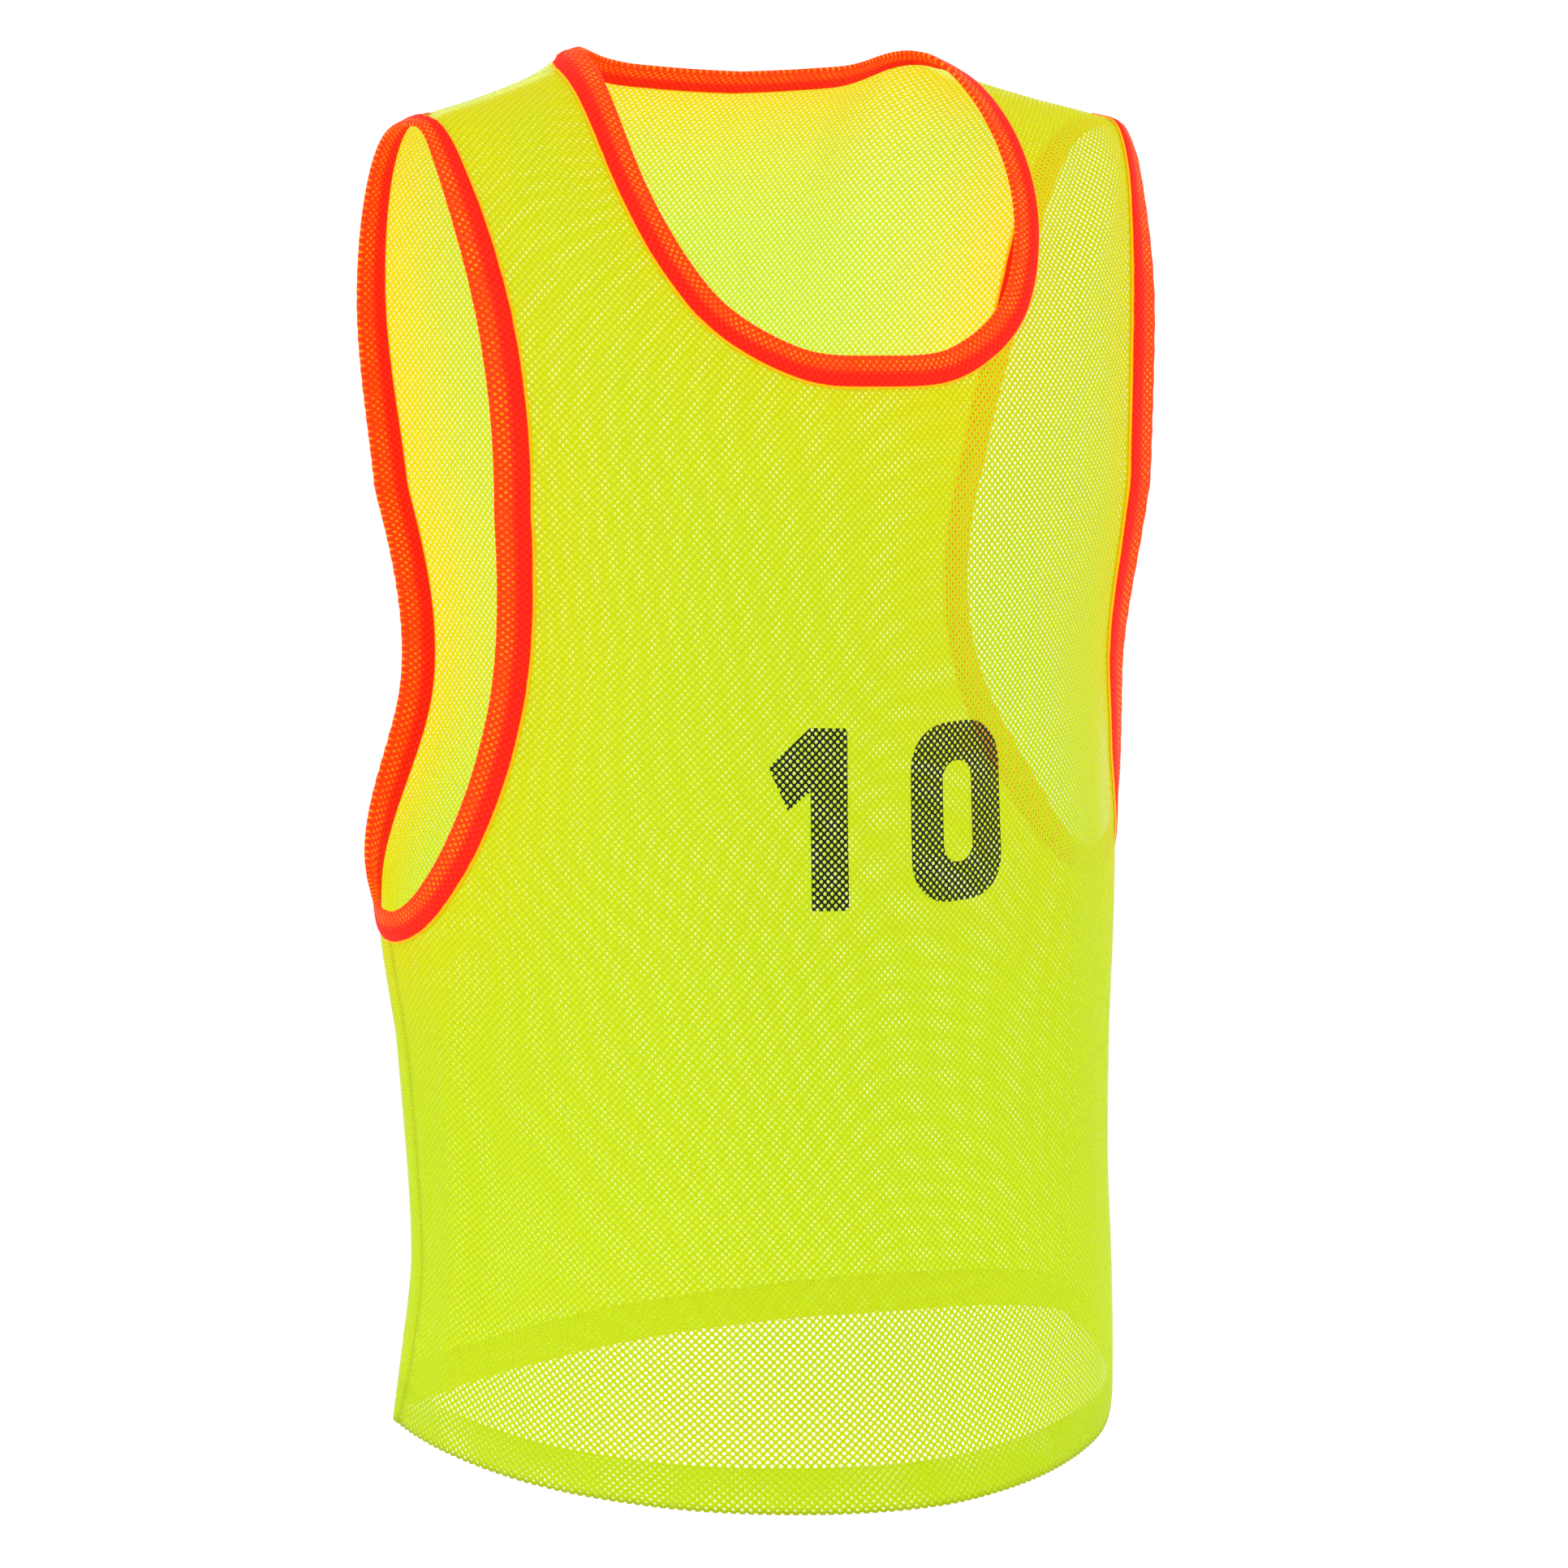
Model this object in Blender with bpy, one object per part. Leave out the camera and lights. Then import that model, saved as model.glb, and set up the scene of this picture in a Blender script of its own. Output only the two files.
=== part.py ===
"""Sleeveless training bib of open mesh cloth, filled out as if worn.

A front panel and a back panel are cut flat, joined at the shoulders and the sides, and
edged with folded tape round the neck and both armholes. The bottom hem is turned up inside.

Each panel is drawn as its flat pattern: u runs across from the centre line, + to the
wearer's left, and v runs up the cloth from the hem. A form worked out from a few sections
and the shoulder line then puts every flat point in space, so that the outlines, the folds,
the tape and the hem all follow the same cloth. Metres, +Z up, the wearer faces -Y, and the
origin is midway between the two places where the neck tape crosses the shoulder seams.
"""
import math

import bmesh
import bpy
import numpy as np
from mathutils import Vector
from mathutils.geometry import delaunay_2d_cdt

# Cloth and making-up
CLOTH_WALL = 0.0012         # thickness of one layer of the mesh
TAPE_WALL = 0.0010          # thickness of one leg of the folded tape
TAPE_WIDTH = 0.0140         # width of tape that shows on each face
HEM_DEPTH = 0.0220          # height of the turned-up hem
SEAM_GAP = 0.0003           # clearance between two sewn pieces
FOLD_CLEARANCE = 0.0004     # clearance between the tape and the cloth inside it
PANEL_STEP = 0.0180         # spacing of the points inside a panel
EDGE_STEP = 0.0130          # spacing of the points along a taped edge

# Flat pattern
HALF_WIDTH = 0.268          # centre line to side seam
UNDERARM = 0.267            # hem to underarm, up the side seam
NECK_X = 0.098              # centre line to the neck edge, on the shoulder seam
TIP_X = 0.199               # centre line to the armhole edge, on the shoulder seam

# Body form below the shoulders, one row for each level
# height, half width, extra half width of the back, front depth, back depth,
# depth of the side seam, roundness of the front, roundness of the back
SECTIONS = [
    (-0.682, 0.201, 0.000, 0.204, 0.096, 0.012, 1.75, 1.80),
    (-0.640, 0.196, 0.000, 0.183, 0.100, 0.005, 1.90, 2.00),
    (-0.580, 0.192, 0.000, 0.164, 0.104, -0.001, 2.00, 2.00),
    (-0.480, 0.197, 0.000, 0.151, 0.108, -0.001, 2.00, 2.00),
    (-0.403, 0.204, 0.000, 0.143, 0.108, 0.004, 2.00, 2.00),
    (-0.365, 0.203, 0.003, 0.141, 0.094, 0.004, 1.95, 2.05),
    (-0.300, 0.204, 0.000, 0.138, 0.080, 0.003, 1.85, 2.05),
    (-0.200, 0.212, 0.010, 0.130, 0.084, 0.002, 2.20, 2.20),
]
# Shoulder line, one row for each place across
# distance from the centre, depth, height, extra height of the back inside the neck,
# fullness of the front, fullness of the back
SHOULDER = [
    (0.000, -0.002, 0.030, -0.023, 1.7, 1.8),
    (0.060, 0.000, 0.024, -0.014, 1.7, 1.9),
    (0.098, 0.004, 0.012, 0.000, 1.8, 2.1),
    (0.119, 0.000, 0.001, 0.000, 1.9, 2.1),
    (0.150, -0.010, -0.009, 0.000, 2.2, 2.2),
    (0.194, -0.023, -0.021, 0.000, 3.0, 2.6),
    (0.240, -0.036, -0.038, 0.000, 3.0, 2.6),
]
# How far the hem hangs below its level: share of the half width, front, back
HEM_DROP = [
    (-1.0, -0.016, -0.016),
    (-0.6, -0.007, -0.004),
    (0.0, -0.003, 0.000),
    (0.5, 0.002, 0.000),
    (1.0, -0.009, -0.009),
]
HEM_DROP_HEIGHT = 0.20      # height over which the hem's drop fades out

# Outlines in the flat pattern. The last point of each lies on the shoulder seam and is
# worked out, so the rows below stop short of it. The neck rows start at the centre line,
# the armhole rows at the side seam. across, up
FRONT_NECK = [(0.000, 0.554), (0.042, 0.557), (0.080, 0.583), (0.101, 0.643)]
FRONT_ARMHOLE = [(HALF_WIDTH, UNDERARM), (0.236, 0.287), (0.205, 0.350), (0.185, 0.455),
                 (0.189, 0.560)]
BACK_ARMHOLE = [(HALF_WIDTH, UNDERARM), (0.238, 0.287), (0.200, 0.355), (0.185, 0.455),
                (0.206, 0.572)]
# The back neck is cut this far below the shoulder line. across, below
BACK_NECK_DROP = [(0.000, 0.017), (0.045, 0.018), (0.078, 0.018), (0.094, 0.011)]

# Soft folds, raised + or sunk - along the cloth's outward side
# panel, across at the start, up at the start, across at the end, up at the end, width, height
FOLDS = [
    ("front", -0.232, 0.235, -0.240, 0.020, 0.011, 0.0035),
    ("front", -0.205, 0.230, -0.212, 0.050, 0.014, -0.0030),
    ("front", -0.150, 0.440, -0.185, 0.080, 0.026, -0.0035),
    ("front", -0.085, 0.330, -0.110, 0.020, 0.024, 0.0025),
    ("front", 0.020, 0.250, 0.010, 0.010, 0.030, -0.0025),
    ("front", 0.110, 0.400, 0.120, 0.020, 0.026, 0.0030),
    ("front", 0.185, 0.330, 0.200, 0.030, 0.018, -0.0025),
    ("front", 0.180, 0.640, 0.130, 0.575, 0.009, 0.0022),
    ("front", 0.160, 0.655, 0.118, 0.600, 0.008, -0.0020),
    ("front", -0.172, 0.600, -0.128, 0.545, 0.012, -0.0018),
    ("back", -0.200, 0.240, -0.210, 0.030, 0.014, 0.0030),
    ("back", -0.120, 0.420, -0.135, 0.040, 0.026, -0.0035),
    ("back", -0.030, 0.360, -0.040, 0.020, 0.028, 0.0030),
    ("back", 0.060, 0.400, 0.055, 0.030, 0.024, -0.0030),
    ("back", 0.140, 0.380, 0.150, 0.020, 0.022, 0.0030),
    ("back", 0.205, 0.230, 0.215, 0.040, 0.014, -0.0030),
    ("back", 0.150, 0.610, 0.090, 0.560, 0.012, -0.0020),
]
FOLD_FADE = 0.035           # distance from a seam over which a fold dies away

# How far the armhole edges stand outward. up, front, back
FLARE = [
    (0.267, 0.002, 0.002),
    (0.300, 0.003, 0.006),
    (0.360, 0.005, 0.010),
    (0.460, 0.008, 0.009),
    (0.560, 0.009, 0.006),
    (0.640, 0.003, 0.002),
    (0.680, 0.000, 0.000),
]
FLARE_REACH = 0.026         # distance from the armhole edge over which the cloth turns out

# Fineness of the form's own tables and curves
COLUMNS = 73                # columns from the centre line to the side seam
LOW_ROWS = 90               # rows from the hem up to the highest section
TOP_ROWS = 60               # rows from there up to the shoulder line
CURVE_POINTS = 400          # points along a worked-out curve
NORMAL_STEP = 0.0015        # distance over which the cloth's direction is measured
SEAM_REACH = 0.0010         # distance from a seam within which both panels share a direction

# Making of the meshes
FOLD_END = 0.55             # share of a fold's height that is left at its two ends
TURN_STATIONS = 3.0         # stations over which the tape's direction turns to a seam's
FIRST_ROW = 0.9             # height of the first row of free points, in rows
FREE_SPACE = 0.62           # least distance of a free point from a fixed one, in steps
NOSE_SHARE = 0.45           # half height of the tape's folded nose, as a share of its skin's
SHARP_ANGLE = math.radians(50.0)

# Colours, roughness
YELLOW = ((0.62, 0.90, 0.03, 1.0), 0.85)
ORANGE = ((0.95, 0.10, 0.02, 1.0), 0.80)


def table_row(table, place):
    """Values of a table at one place, by a smooth curve that never overshoots its rows."""
    rows = np.array(table, float)
    keys = rows[:, 0]
    values = rows[:, 1:]
    slopes = np.diff(values, axis=0) / np.diff(keys)[:, None]
    tangents = np.vstack([slopes[:1], slopes])
    for i in range(1, len(keys) - 1):
        before, after = slopes[i - 1], slopes[i]
        same_way = before * after > 0.0
        total = np.where(same_way, before + after, 1.0)
        tangents[i] = np.where(same_way, 2.0 * before * after / total, 0.0)
    i = int(np.clip(np.searchsorted(keys, place) - 1, 0, len(keys) - 2))
    span = keys[i + 1] - keys[i]
    t = (place - keys[i]) / span
    return ((2 * t**3 - 3 * t**2 + 1) * values[i] + (t**3 - 2 * t**2 + t) * span * tangents[i]
            + (3 * t**2 - 2 * t**3) * values[i + 1] + (t**3 - t**2) * span * tangents[i + 1])


def half_section(side, height):
    """Half of a level section, evenly spaced from the centre line to the side seam."""
    half, extra, front, back, seam_y, front_round, back_round = table_row(SECTIONS, height)
    if side == "front":
        depth, roundness, facing = front, front_round, -1.0
    else:
        half, depth, roundness, facing = half + extra, back, back_round, 1.0
    angles = np.linspace(0.0, math.pi / 2, CURVE_POINTS)
    x = half * np.sin(angles) ** (2.0 / roundness)
    y = seam_y + facing * depth * np.cos(angles) ** (2.0 / roundness)
    length = np.concatenate([[0.0], np.cumsum(np.hypot(np.diff(x), np.diff(y)))])
    spaced = np.linspace(0.0, length[-1], COLUMNS)
    return np.interp(spaced, length, x), np.interp(spaced, length, y)


def column_grid(side, hand):
    """Points of one half of a panel: rows from the hem up, columns from the centre out."""
    rows = []
    for height in np.linspace(SECTIONS[0][0], SECTIONS[-1][0], LOW_ROWS):
        x, y = half_section(side, height)
        rows.append(np.column_stack([x, y, np.full(COLUMNS, height)]))
    start = rows[-1]
    ridge = np.array([table_row(SHOULDER, x) for x in start[:, 0]])
    which = 0 if side == "front" else 1
    ridge_y, ridge_z, fullness = ridge[:, 0], ridge[:, 1] + which * ridge[:, 2], ridge[:, 3 + which]
    for angle in np.linspace(0.0, math.pi / 2, TOP_ROWS + 1)[1:]:
        lean = max(math.cos(angle), 0.0) ** (2.0 / fullness)
        rise = math.sin(angle) ** (2.0 / fullness)
        y = ridge_y + (start[:, 1] - ridge_y) * lean
        z = start[:, 2] + (ridge_z - start[:, 2]) * rise
        rows.append(np.column_stack([start[:, 0], y, z]))
    grid = np.array(rows)
    shares = np.linspace(0.0, 1.0, COLUMNS)
    drop = np.array([table_row(HEM_DROP, hand * share)[which] for share in shares])
    fade = np.clip(1.0 - (grid[:, :, 2] - SECTIONS[0][0]) / HEM_DROP_HEIGHT, 0.0, 1.0) ** 2
    grid[:, :, 2] -= fade * drop[None, :]
    grid[:, :, 0] *= hand
    lengths = np.linalg.norm(np.diff(grid, axis=0), axis=2)
    up = np.vstack([np.zeros((1, COLUMNS)), np.cumsum(lengths, axis=0)])
    return grid, up


def make_form():
    """The column grids of both panels, for both hands."""
    return {(side, hand): column_grid(side, hand)
            for side in ("front", "back") for hand in (-1, 1)}


FORM = make_form()


def column_at(u):
    """Whole column number and share towards the next one, for a place across the cloth."""
    place = min(abs(u) / HALF_WIDTH, 1.0) * (COLUMNS - 1)
    number = int(min(place, COLUMNS - 2))
    return number, place - number


def shoulder_v(side, u):
    """How far up the cloth the shoulder line lies at a place across."""
    grid, up = FORM[(side, 1 if u >= 0 else -1)]
    number, share = column_at(u)
    return up[-1, number] * (1.0 - share) + up[-1, number + 1] * share


def shoulder_u(side, x):
    """Place across the cloth of a point on the shoulder line."""
    grid, up = FORM[(side, 1 if x >= 0 else -1)]
    across = np.linspace(0.0, HALF_WIDTH, COLUMNS)
    return math.copysign(np.interp(abs(x), np.abs(grid[-1, :, 0]), across), x)


def smooth_point(side, u, v):
    """Point in space of a flat point, before folds."""
    grid, up = FORM[(side, 1 if u >= 0 else -1)]
    number, share = column_at(u)
    ends = []
    for column in (number, number + 1):
        ends.append([np.interp(v, up[:, column], grid[:, column, axis]) for axis in range(3)])
    return np.array(ends[0]) * (1.0 - share) + np.array(ends[1]) * share


def smooth_normal(side, u, v):
    """Outward direction of the unfolded cloth at a flat point."""
    top = shoulder_v(side, u)
    left, right = max(u - NORMAL_STEP, -HALF_WIDTH), min(u + NORMAL_STEP, HALF_WIDTH)
    low, high = max(v - NORMAL_STEP, 0.0), min(v + NORMAL_STEP, top)
    across = smooth_point(side, right, v) - smooth_point(side, left, v)
    upward = smooth_point(side, u, high) - smooth_point(side, u, low)
    normal = np.cross(across, upward)
    if side == "back":
        normal = -normal
    return normal / np.linalg.norm(normal)


def other(side):
    return "back" if side == "front" else "front"


def ease(t):
    t = min(max(t, 0.0), 1.0)
    return t * t * (3.0 - 2.0 * t)


def cloth_normal(side, u, v):
    """Outward direction, shared by both panels where they meet at a seam."""
    normal = smooth_normal(side, u, v)
    if abs(u) > HALF_WIDTH - SEAM_REACH:
        normal = normal + smooth_normal(other(side), u, v)
    elif v > shoulder_v(side, u) - SEAM_REACH:
        x = smooth_point(side, u, v)[0]
        other_u = shoulder_u(other(side), x)
        normal = normal + smooth_normal(other(side), other_u, shoulder_v(other(side), other_u))
    return normal / np.linalg.norm(normal)


def fold_height(side, u, v):
    """Height of all the folds at a flat point."""
    total = 0.0
    for panel, u0, v0, u1, v1, width, height in FOLDS:
        if panel != side:
            continue
        run_u, run_v = u1 - u0, v1 - v0
        along = ((u - u0) * run_u + (v - v0) * run_v) / (run_u**2 + run_v**2)
        inside = min(max(along, 0.0), 1.0)
        away = math.hypot(u - u0 - inside * run_u, v - v0 - inside * run_v)
        swell = FOLD_END + (1.0 - FOLD_END) * math.sin(math.pi * inside)
        total += height * math.exp(-(away / width) ** 2) * swell
    return total * ease((HALF_WIDTH - abs(u)) / FOLD_FADE)


def flare_height(side, u, v):
    """How far the cloth stands outward near the armhole edge."""
    away = np.min(np.hypot(ARMHOLES[side][:, 0] - abs(u), ARMHOLES[side][:, 1] - v))
    level = min(max(v, FLARE[0][0]), FLARE[-1][0])
    most = table_row(FLARE, level)[0 if side == "front" else 1]
    return most * max(1.0 - away / FLARE_REACH, 0.0) ** 2


def cloth_point(side, u, v):
    """Point in space and outward direction of a flat point, folds included."""
    normal = cloth_normal(side, u, v)
    to_shoulder = ease((shoulder_v(side, u) - v) / FOLD_FADE)
    height = to_shoulder * (fold_height(side, u, v) + flare_height(side, u, v))
    return smooth_point(side, u, v) + normal * height, normal


def smooth_curve(points, first_way):
    """Dense flat curve through a few points, leaving the first one in a given direction."""
    points = np.array(points, float)
    length = np.concatenate([[0.0], np.cumsum(np.linalg.norm(np.diff(points, axis=0), axis=1))])
    tangents = np.zeros_like(points)
    tangents[1:-1] = (points[2:] - points[:-2]) / (length[2:] - length[:-2])[:, None]
    tangents[-1] = (points[-1] - points[-2]) / (length[-1] - length[-2])
    tangents[0] = first_way
    curve = []
    for place in np.linspace(0.0, length[-1], CURVE_POINTS):
        i = int(np.clip(np.searchsorted(length, place, side="right") - 1, 0, len(points) - 2))
        span = length[i + 1] - length[i]
        t = (place - length[i]) / span
        curve.append((2 * t**3 - 3 * t**2 + 1) * points[i]
                     + (t**3 - 2 * t**2 + t) * span * tangents[i]
                     + (3 * t**2 - 2 * t**3) * points[i + 1]
                     + (t**3 - t**2) * span * tangents[i + 1])
    return np.array(curve)


def even_points(curve, step):
    """The same curve with evenly spaced points, about one step apart, ends kept."""
    length = np.concatenate([[0.0], np.cumsum(np.linalg.norm(np.diff(curve, axis=0), axis=1))])
    count = max(2, int(round(length[-1] / step)) + 1)
    places = np.linspace(0.0, length[-1], count)
    return np.column_stack([np.interp(places, length, curve[:, k]) for k in range(2)])


def seam_flat(side, x):
    """Flat point on a panel's shoulder edge, for a distance from the centre."""
    u = shoulder_u(side, x)
    return np.array([u, shoulder_v(side, u)])


def shoulder_places(start, end):
    """Distances from the centre, one tape width along the shoulder line from its start."""
    fine = np.linspace(start, end, CURVE_POINTS)
    rows = np.array([table_row(SHOULDER, x) for x in fine])
    line = np.column_stack([fine, rows[:, 0], rows[:, 1]])
    length = np.concatenate([[0.0], np.cumsum(np.linalg.norm(np.diff(line, axis=0), axis=1))])
    return float(np.interp(TAPE_WIDTH, length, fine))


NECK_TAPE_X = shoulder_places(NECK_X, TIP_X)
TIP_TAPE_X = shoulder_places(TIP_X, NECK_X)


def neck_outline(side):
    """Half of a panel's neck edge, from the centre line to the shoulder seam."""
    end = seam_flat(side, NECK_X)
    if side == "front":
        rows = FRONT_NECK
    else:
        rows = [(u, shoulder_v(side, u) - drop) for u, drop in BACK_NECK_DROP]
    return smooth_curve(rows + [tuple(end)], (1.0, 0.0))


def armhole_outline(side):
    """A panel's armhole edge, from the side seam to the shoulder seam."""
    rows = FRONT_ARMHOLE if side == "front" else BACK_ARMHOLE
    return smooth_curve(rows + [tuple(seam_flat(side, TIP_X))], (-1.0, 0.0))


ARMHOLES = {side: armhole_outline(side) for side in ("front", "back")}


def taped_edge(stations, cloth_side, last_way):
    """Flat points one tape width into the cloth, square to the edge but along the seams."""
    first_way = np.array([0.0, -1.0])
    tangents = np.gradient(stations, axis=0)
    tangents /= np.linalg.norm(tangents, axis=1)[:, None]
    ways = cloth_side * np.column_stack([-tangents[:, 1], tangents[:, 0]])
    count = len(stations)
    for i in range(count):
        for end_way, steps in ((first_way, i), (last_way, count - 1 - i)):
            hold = 1.0 - ease(steps / TURN_STATIONS)
            ways[i] = ways[i] * (1.0 - hold) + end_way * hold
        ways[i] /= np.linalg.norm(ways[i])
    return stations + ways * TAPE_WIDTH


def neck_strip(side):
    """Edge row and inner row of the neck edge, from one shoulder seam to the other."""
    half = even_points(neck_outline(side), EDGE_STEP)
    inner_end = seam_flat(side, NECK_TAPE_X)
    way = inner_end - half[-1]
    inner = taped_edge(half, -1.0, way / np.linalg.norm(way))
    inner[-1] = inner_end
    flip = np.array([-1.0, 1.0])
    edge_row = np.vstack([half[:0:-1] * flip, half])
    inner_row = np.vstack([inner[:0:-1] * flip, inner])
    edge_row[0] = seam_flat(side, -NECK_X)
    inner_row[0] = seam_flat(side, -NECK_TAPE_X)
    return edge_row, inner_row


def armhole_strip(side, hand):
    """Edge row and inner row of an armhole edge, from the underarm to the shoulder seam."""
    edge = even_points(armhole_outline(side), EDGE_STEP)
    inner_end = seam_flat(side, TIP_TAPE_X)
    way = inner_end - edge[-1]
    inner = taped_edge(edge, 1.0, way / np.linalg.norm(way))
    inner[-1] = inner_end
    rows = [row * np.array([hand, 1.0]) for row in (edge, inner)]
    rows[0][-1] = seam_flat(side, hand * TIP_X)
    rows[1][-1] = seam_flat(side, hand * TIP_TAPE_X)
    return rows


def pull_from_seams(side, row):
    """Keeps a panel's own points half a seam gap short of the side and shoulder seams."""
    half_gap = SEAM_GAP / 2
    pulled = []
    for u, v in row:
        if abs(u) > HALF_WIDTH - half_gap:
            u = math.copysign(HALF_WIDTH - half_gap, u)
        v = min(v, shoulder_v(side, u) - half_gap)
        pulled.append((u, v))
    return pulled


def straight_run(start, end, step):
    """Points between two flat points, both left out."""
    start, end = np.array(start), np.array(end)
    count = max(1, int(round(np.linalg.norm(end - start) / step)))
    return [tuple(start + (end - start) * i / count) for i in range(1, count)]


def shoulder_run(side, hand):
    """Points on a panel's shoulder edge between the neck tape and the armhole tape."""
    count = max(2, int(round((TIP_TAPE_X - NECK_TAPE_X) / EDGE_STEP)))
    places = np.linspace(NECK_TAPE_X, TIP_TAPE_X, count + 1)[1:-1]
    return [tuple(seam_flat(side, hand * x)) for x in places]


def chain(points, edges, row):
    """Adds a row of points, joined one to the next, and gives their numbers."""
    first = len(points)
    points.extend(row)
    numbers = list(range(first, len(points)))
    edges.extend(zip(numbers, numbers[1:]))
    return numbers


def ladder(edges, side, edge_numbers, inner_numbers):
    """Crosses a taped strip with rungs and diagonals, as the tape's own faces do."""
    edges.extend(zip(edge_numbers, inner_numbers))
    if side == "front":
        edges.extend(zip(edge_numbers, inner_numbers[1:]))
    else:
        edges.extend(zip(edge_numbers[1:], inner_numbers))


def flat_panel(side):
    """Triangulated flat pattern of one panel."""
    points, edges = [], []
    neck_edge, neck_inner = (pull_from_seams(side, row) for row in neck_strip(side))
    neck_numbers = chain(points, edges, neck_edge)
    ladder(edges, side, neck_numbers, chain(points, edges, neck_inner))
    outline = list(neck_edge)
    for hand in (1, -1):
        arm_edge, arm_inner = (pull_from_seams(side, row) for row in armhole_strip(side, hand))
        arm_numbers = chain(points, edges, arm_edge)
        ladder(edges, side, arm_numbers, chain(points, edges, arm_inner))
        neck_end = neck_inner[-1] if hand == 1 else neck_inner[0]
        neck_tip = neck_edge[-1] if hand == 1 else neck_edge[0]
        seam = pull_from_seams(side, shoulder_run(side, hand))
        shoulder = [neck_tip, neck_end] + seam + [arm_inner[-1], arm_edge[-1]]
        chain(points, edges, shoulder)
        corner = (hand * (HALF_WIDTH - SEAM_GAP / 2), 0.0)
        hem_top = (corner[0], HEM_DEPTH)
        step_top = (corner[0], HEM_DEPTH + CLOTH_WALL)
        side_run = [step_top] + straight_run(step_top, arm_inner[0], PANEL_STEP) + [arm_inner[0]]
        chain(points, edges, [corner, hem_top] + side_run + [arm_edge[0]])
        half = shoulder + arm_edge[::-1] + [arm_inner[0]] + side_run[::-1] + [hem_top, corner]
        outline = outline + half if hand == 1 else half[::-1] + outline
    reach = HALF_WIDTH - SEAM_GAP / 2
    for level in (0.0, HEM_DEPTH, HEM_DEPTH + CLOTH_WALL):
        run = straight_run((-reach, level), (reach, level), PANEL_STEP)
        chain(points, edges, [(-reach, level)] + run + [(reach, level)])
    fixed = np.array(points)
    row_height = PANEL_STEP * math.sqrt(3.0) / 2.0
    start_level = HEM_DEPTH + CLOTH_WALL + row_height * FIRST_ROW
    top_level = shoulder_v(side, 0.0)
    columns = math.ceil(HALF_WIDTH / PANEL_STEP)
    for number in range(int((top_level - start_level) / row_height) + 1):
        v = start_level + number * row_height
        shift = PANEL_STEP / 2 if number % 2 else 0.0
        for column in range(-columns, columns + 1):
            u = column * PANEL_STEP + shift
            if abs(u) > HALF_WIDTH or not inside_outline(outline, u, v):
                continue
            if np.min(np.hypot(fixed[:, 0] - u, fixed[:, 1] - v)) > FREE_SPACE * PANEL_STEP:
                points.append((u, v))
    result = delaunay_2d_cdt([Vector(p) for p in points], edges, [], 1, 1e-5)
    return [tuple(p) for p in result[0]], [tuple(f) for f in result[2]]


def inside_outline(outline, u, v):
    """True for a flat point inside the panel's outline."""
    inside = False
    for (u0, v0), (u1, v1) in zip(outline, outline[1:] + outline[:1]):
        if (v0 > v) != (v1 > v) and u < (u1 - u0) * (v - v0) / (v1 - v0) + u0:
            inside = not inside
    return inside


def material(name, colour, roughness):
    made = bpy.data.materials.new(name)
    made.use_nodes = True
    shader = made.node_tree.nodes["Principled BSDF"]
    shader.inputs["Base Color"].default_value = colour
    shader.inputs["Roughness"].default_value = roughness
    shader.inputs["Metallic"].default_value = 0.0
    return made


def add_object(name, bm, made_material):
    """Puts a finished mesh in the scene, smooth but for its sharp rims."""
    bmesh.ops.recalc_face_normals(bm, faces=bm.faces)
    mesh = bpy.data.meshes.new(name)
    bm.to_mesh(mesh)
    bm.free()
    mesh.materials.append(made_material)
    mesh.shade_smooth()
    mesh.set_sharp_from_angle(angle=SHARP_ANGLE)
    thing = bpy.data.objects.new(name, mesh)
    bpy.context.collection.objects.link(thing)
    return thing


def make_panel(name, side):
    """One panel: a thin wall over its flat pattern, twice as thick where the hem turns up."""
    flat, faces = flat_panel(side)
    bm = bmesh.new()
    outer, inner = [], []
    for u, v in flat:
        point, normal = cloth_point(side, u, v)
        depth = CLOTH_WALL / 2
        if v < HEM_DEPTH + CLOTH_WALL / 2:
            depth += CLOTH_WALL
        outer.append(bm.verts.new(point + normal * CLOTH_WALL / 2))
        inner.append(bm.verts.new(point - normal * depth))
    border = {}
    for face in faces:
        bm.faces.new([outer[i] for i in face])
        bm.faces.new([inner[i] for i in reversed(face)])
        for a, b in zip(face, face[1:] + face[:1]):
            border[(a, b)] = (b, a) in border
            if (b, a) in border:
                border[(b, a)] = True
    for (a, b), shared in border.items():
        if not shared:
            bm.faces.new([outer[b], outer[a], inner[a]])
            bm.faces.new([outer[b], inner[a], inner[b]])
    return add_object(name, bm, material(name + "_cloth", *YELLOW))


def tape_section():
    """Cross-section of the folded tape: distance into the cloth, distance off its middle."""
    gap = CLOTH_WALL / 2 + FOLD_CLEARANCE
    skin = gap + TAPE_WALL
    nose = FOLD_CLEARANCE + TAPE_WALL
    return [(TAPE_WIDTH, skin), (0.0, skin), (-nose, skin * NOSE_SHARE), (-nose, -skin * NOSE_SHARE),
            (0.0, -skin), (TAPE_WIDTH, -skin), (TAPE_WIDTH, -gap),
            (-FOLD_CLEARANCE, -gap), (-FOLD_CLEARANCE, gap), (TAPE_WIDTH, gap)]


def tape_ring(side_rows):
    """Rings of tape points along a whole edge, one for each station."""
    rings = []
    for side, edge_row, inner_row in side_rows:
        for edge, inner in zip(edge_row, inner_row):
            edge_point, edge_normal = cloth_point(side, *edge)
            inner_point, inner_normal = cloth_point(side, *inner)
            way = inner_point - edge_point
            way = way - edge_normal * np.dot(way, edge_normal)
            way = way / np.linalg.norm(way)
            ring = []
            for into, off in tape_section():
                if into > TAPE_WIDTH / 2:
                    ring.append(inner_point + inner_normal * off)
                else:
                    ring.append(edge_point + way * into + edge_normal * off)
            rings.append(ring)
    return rings


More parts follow.
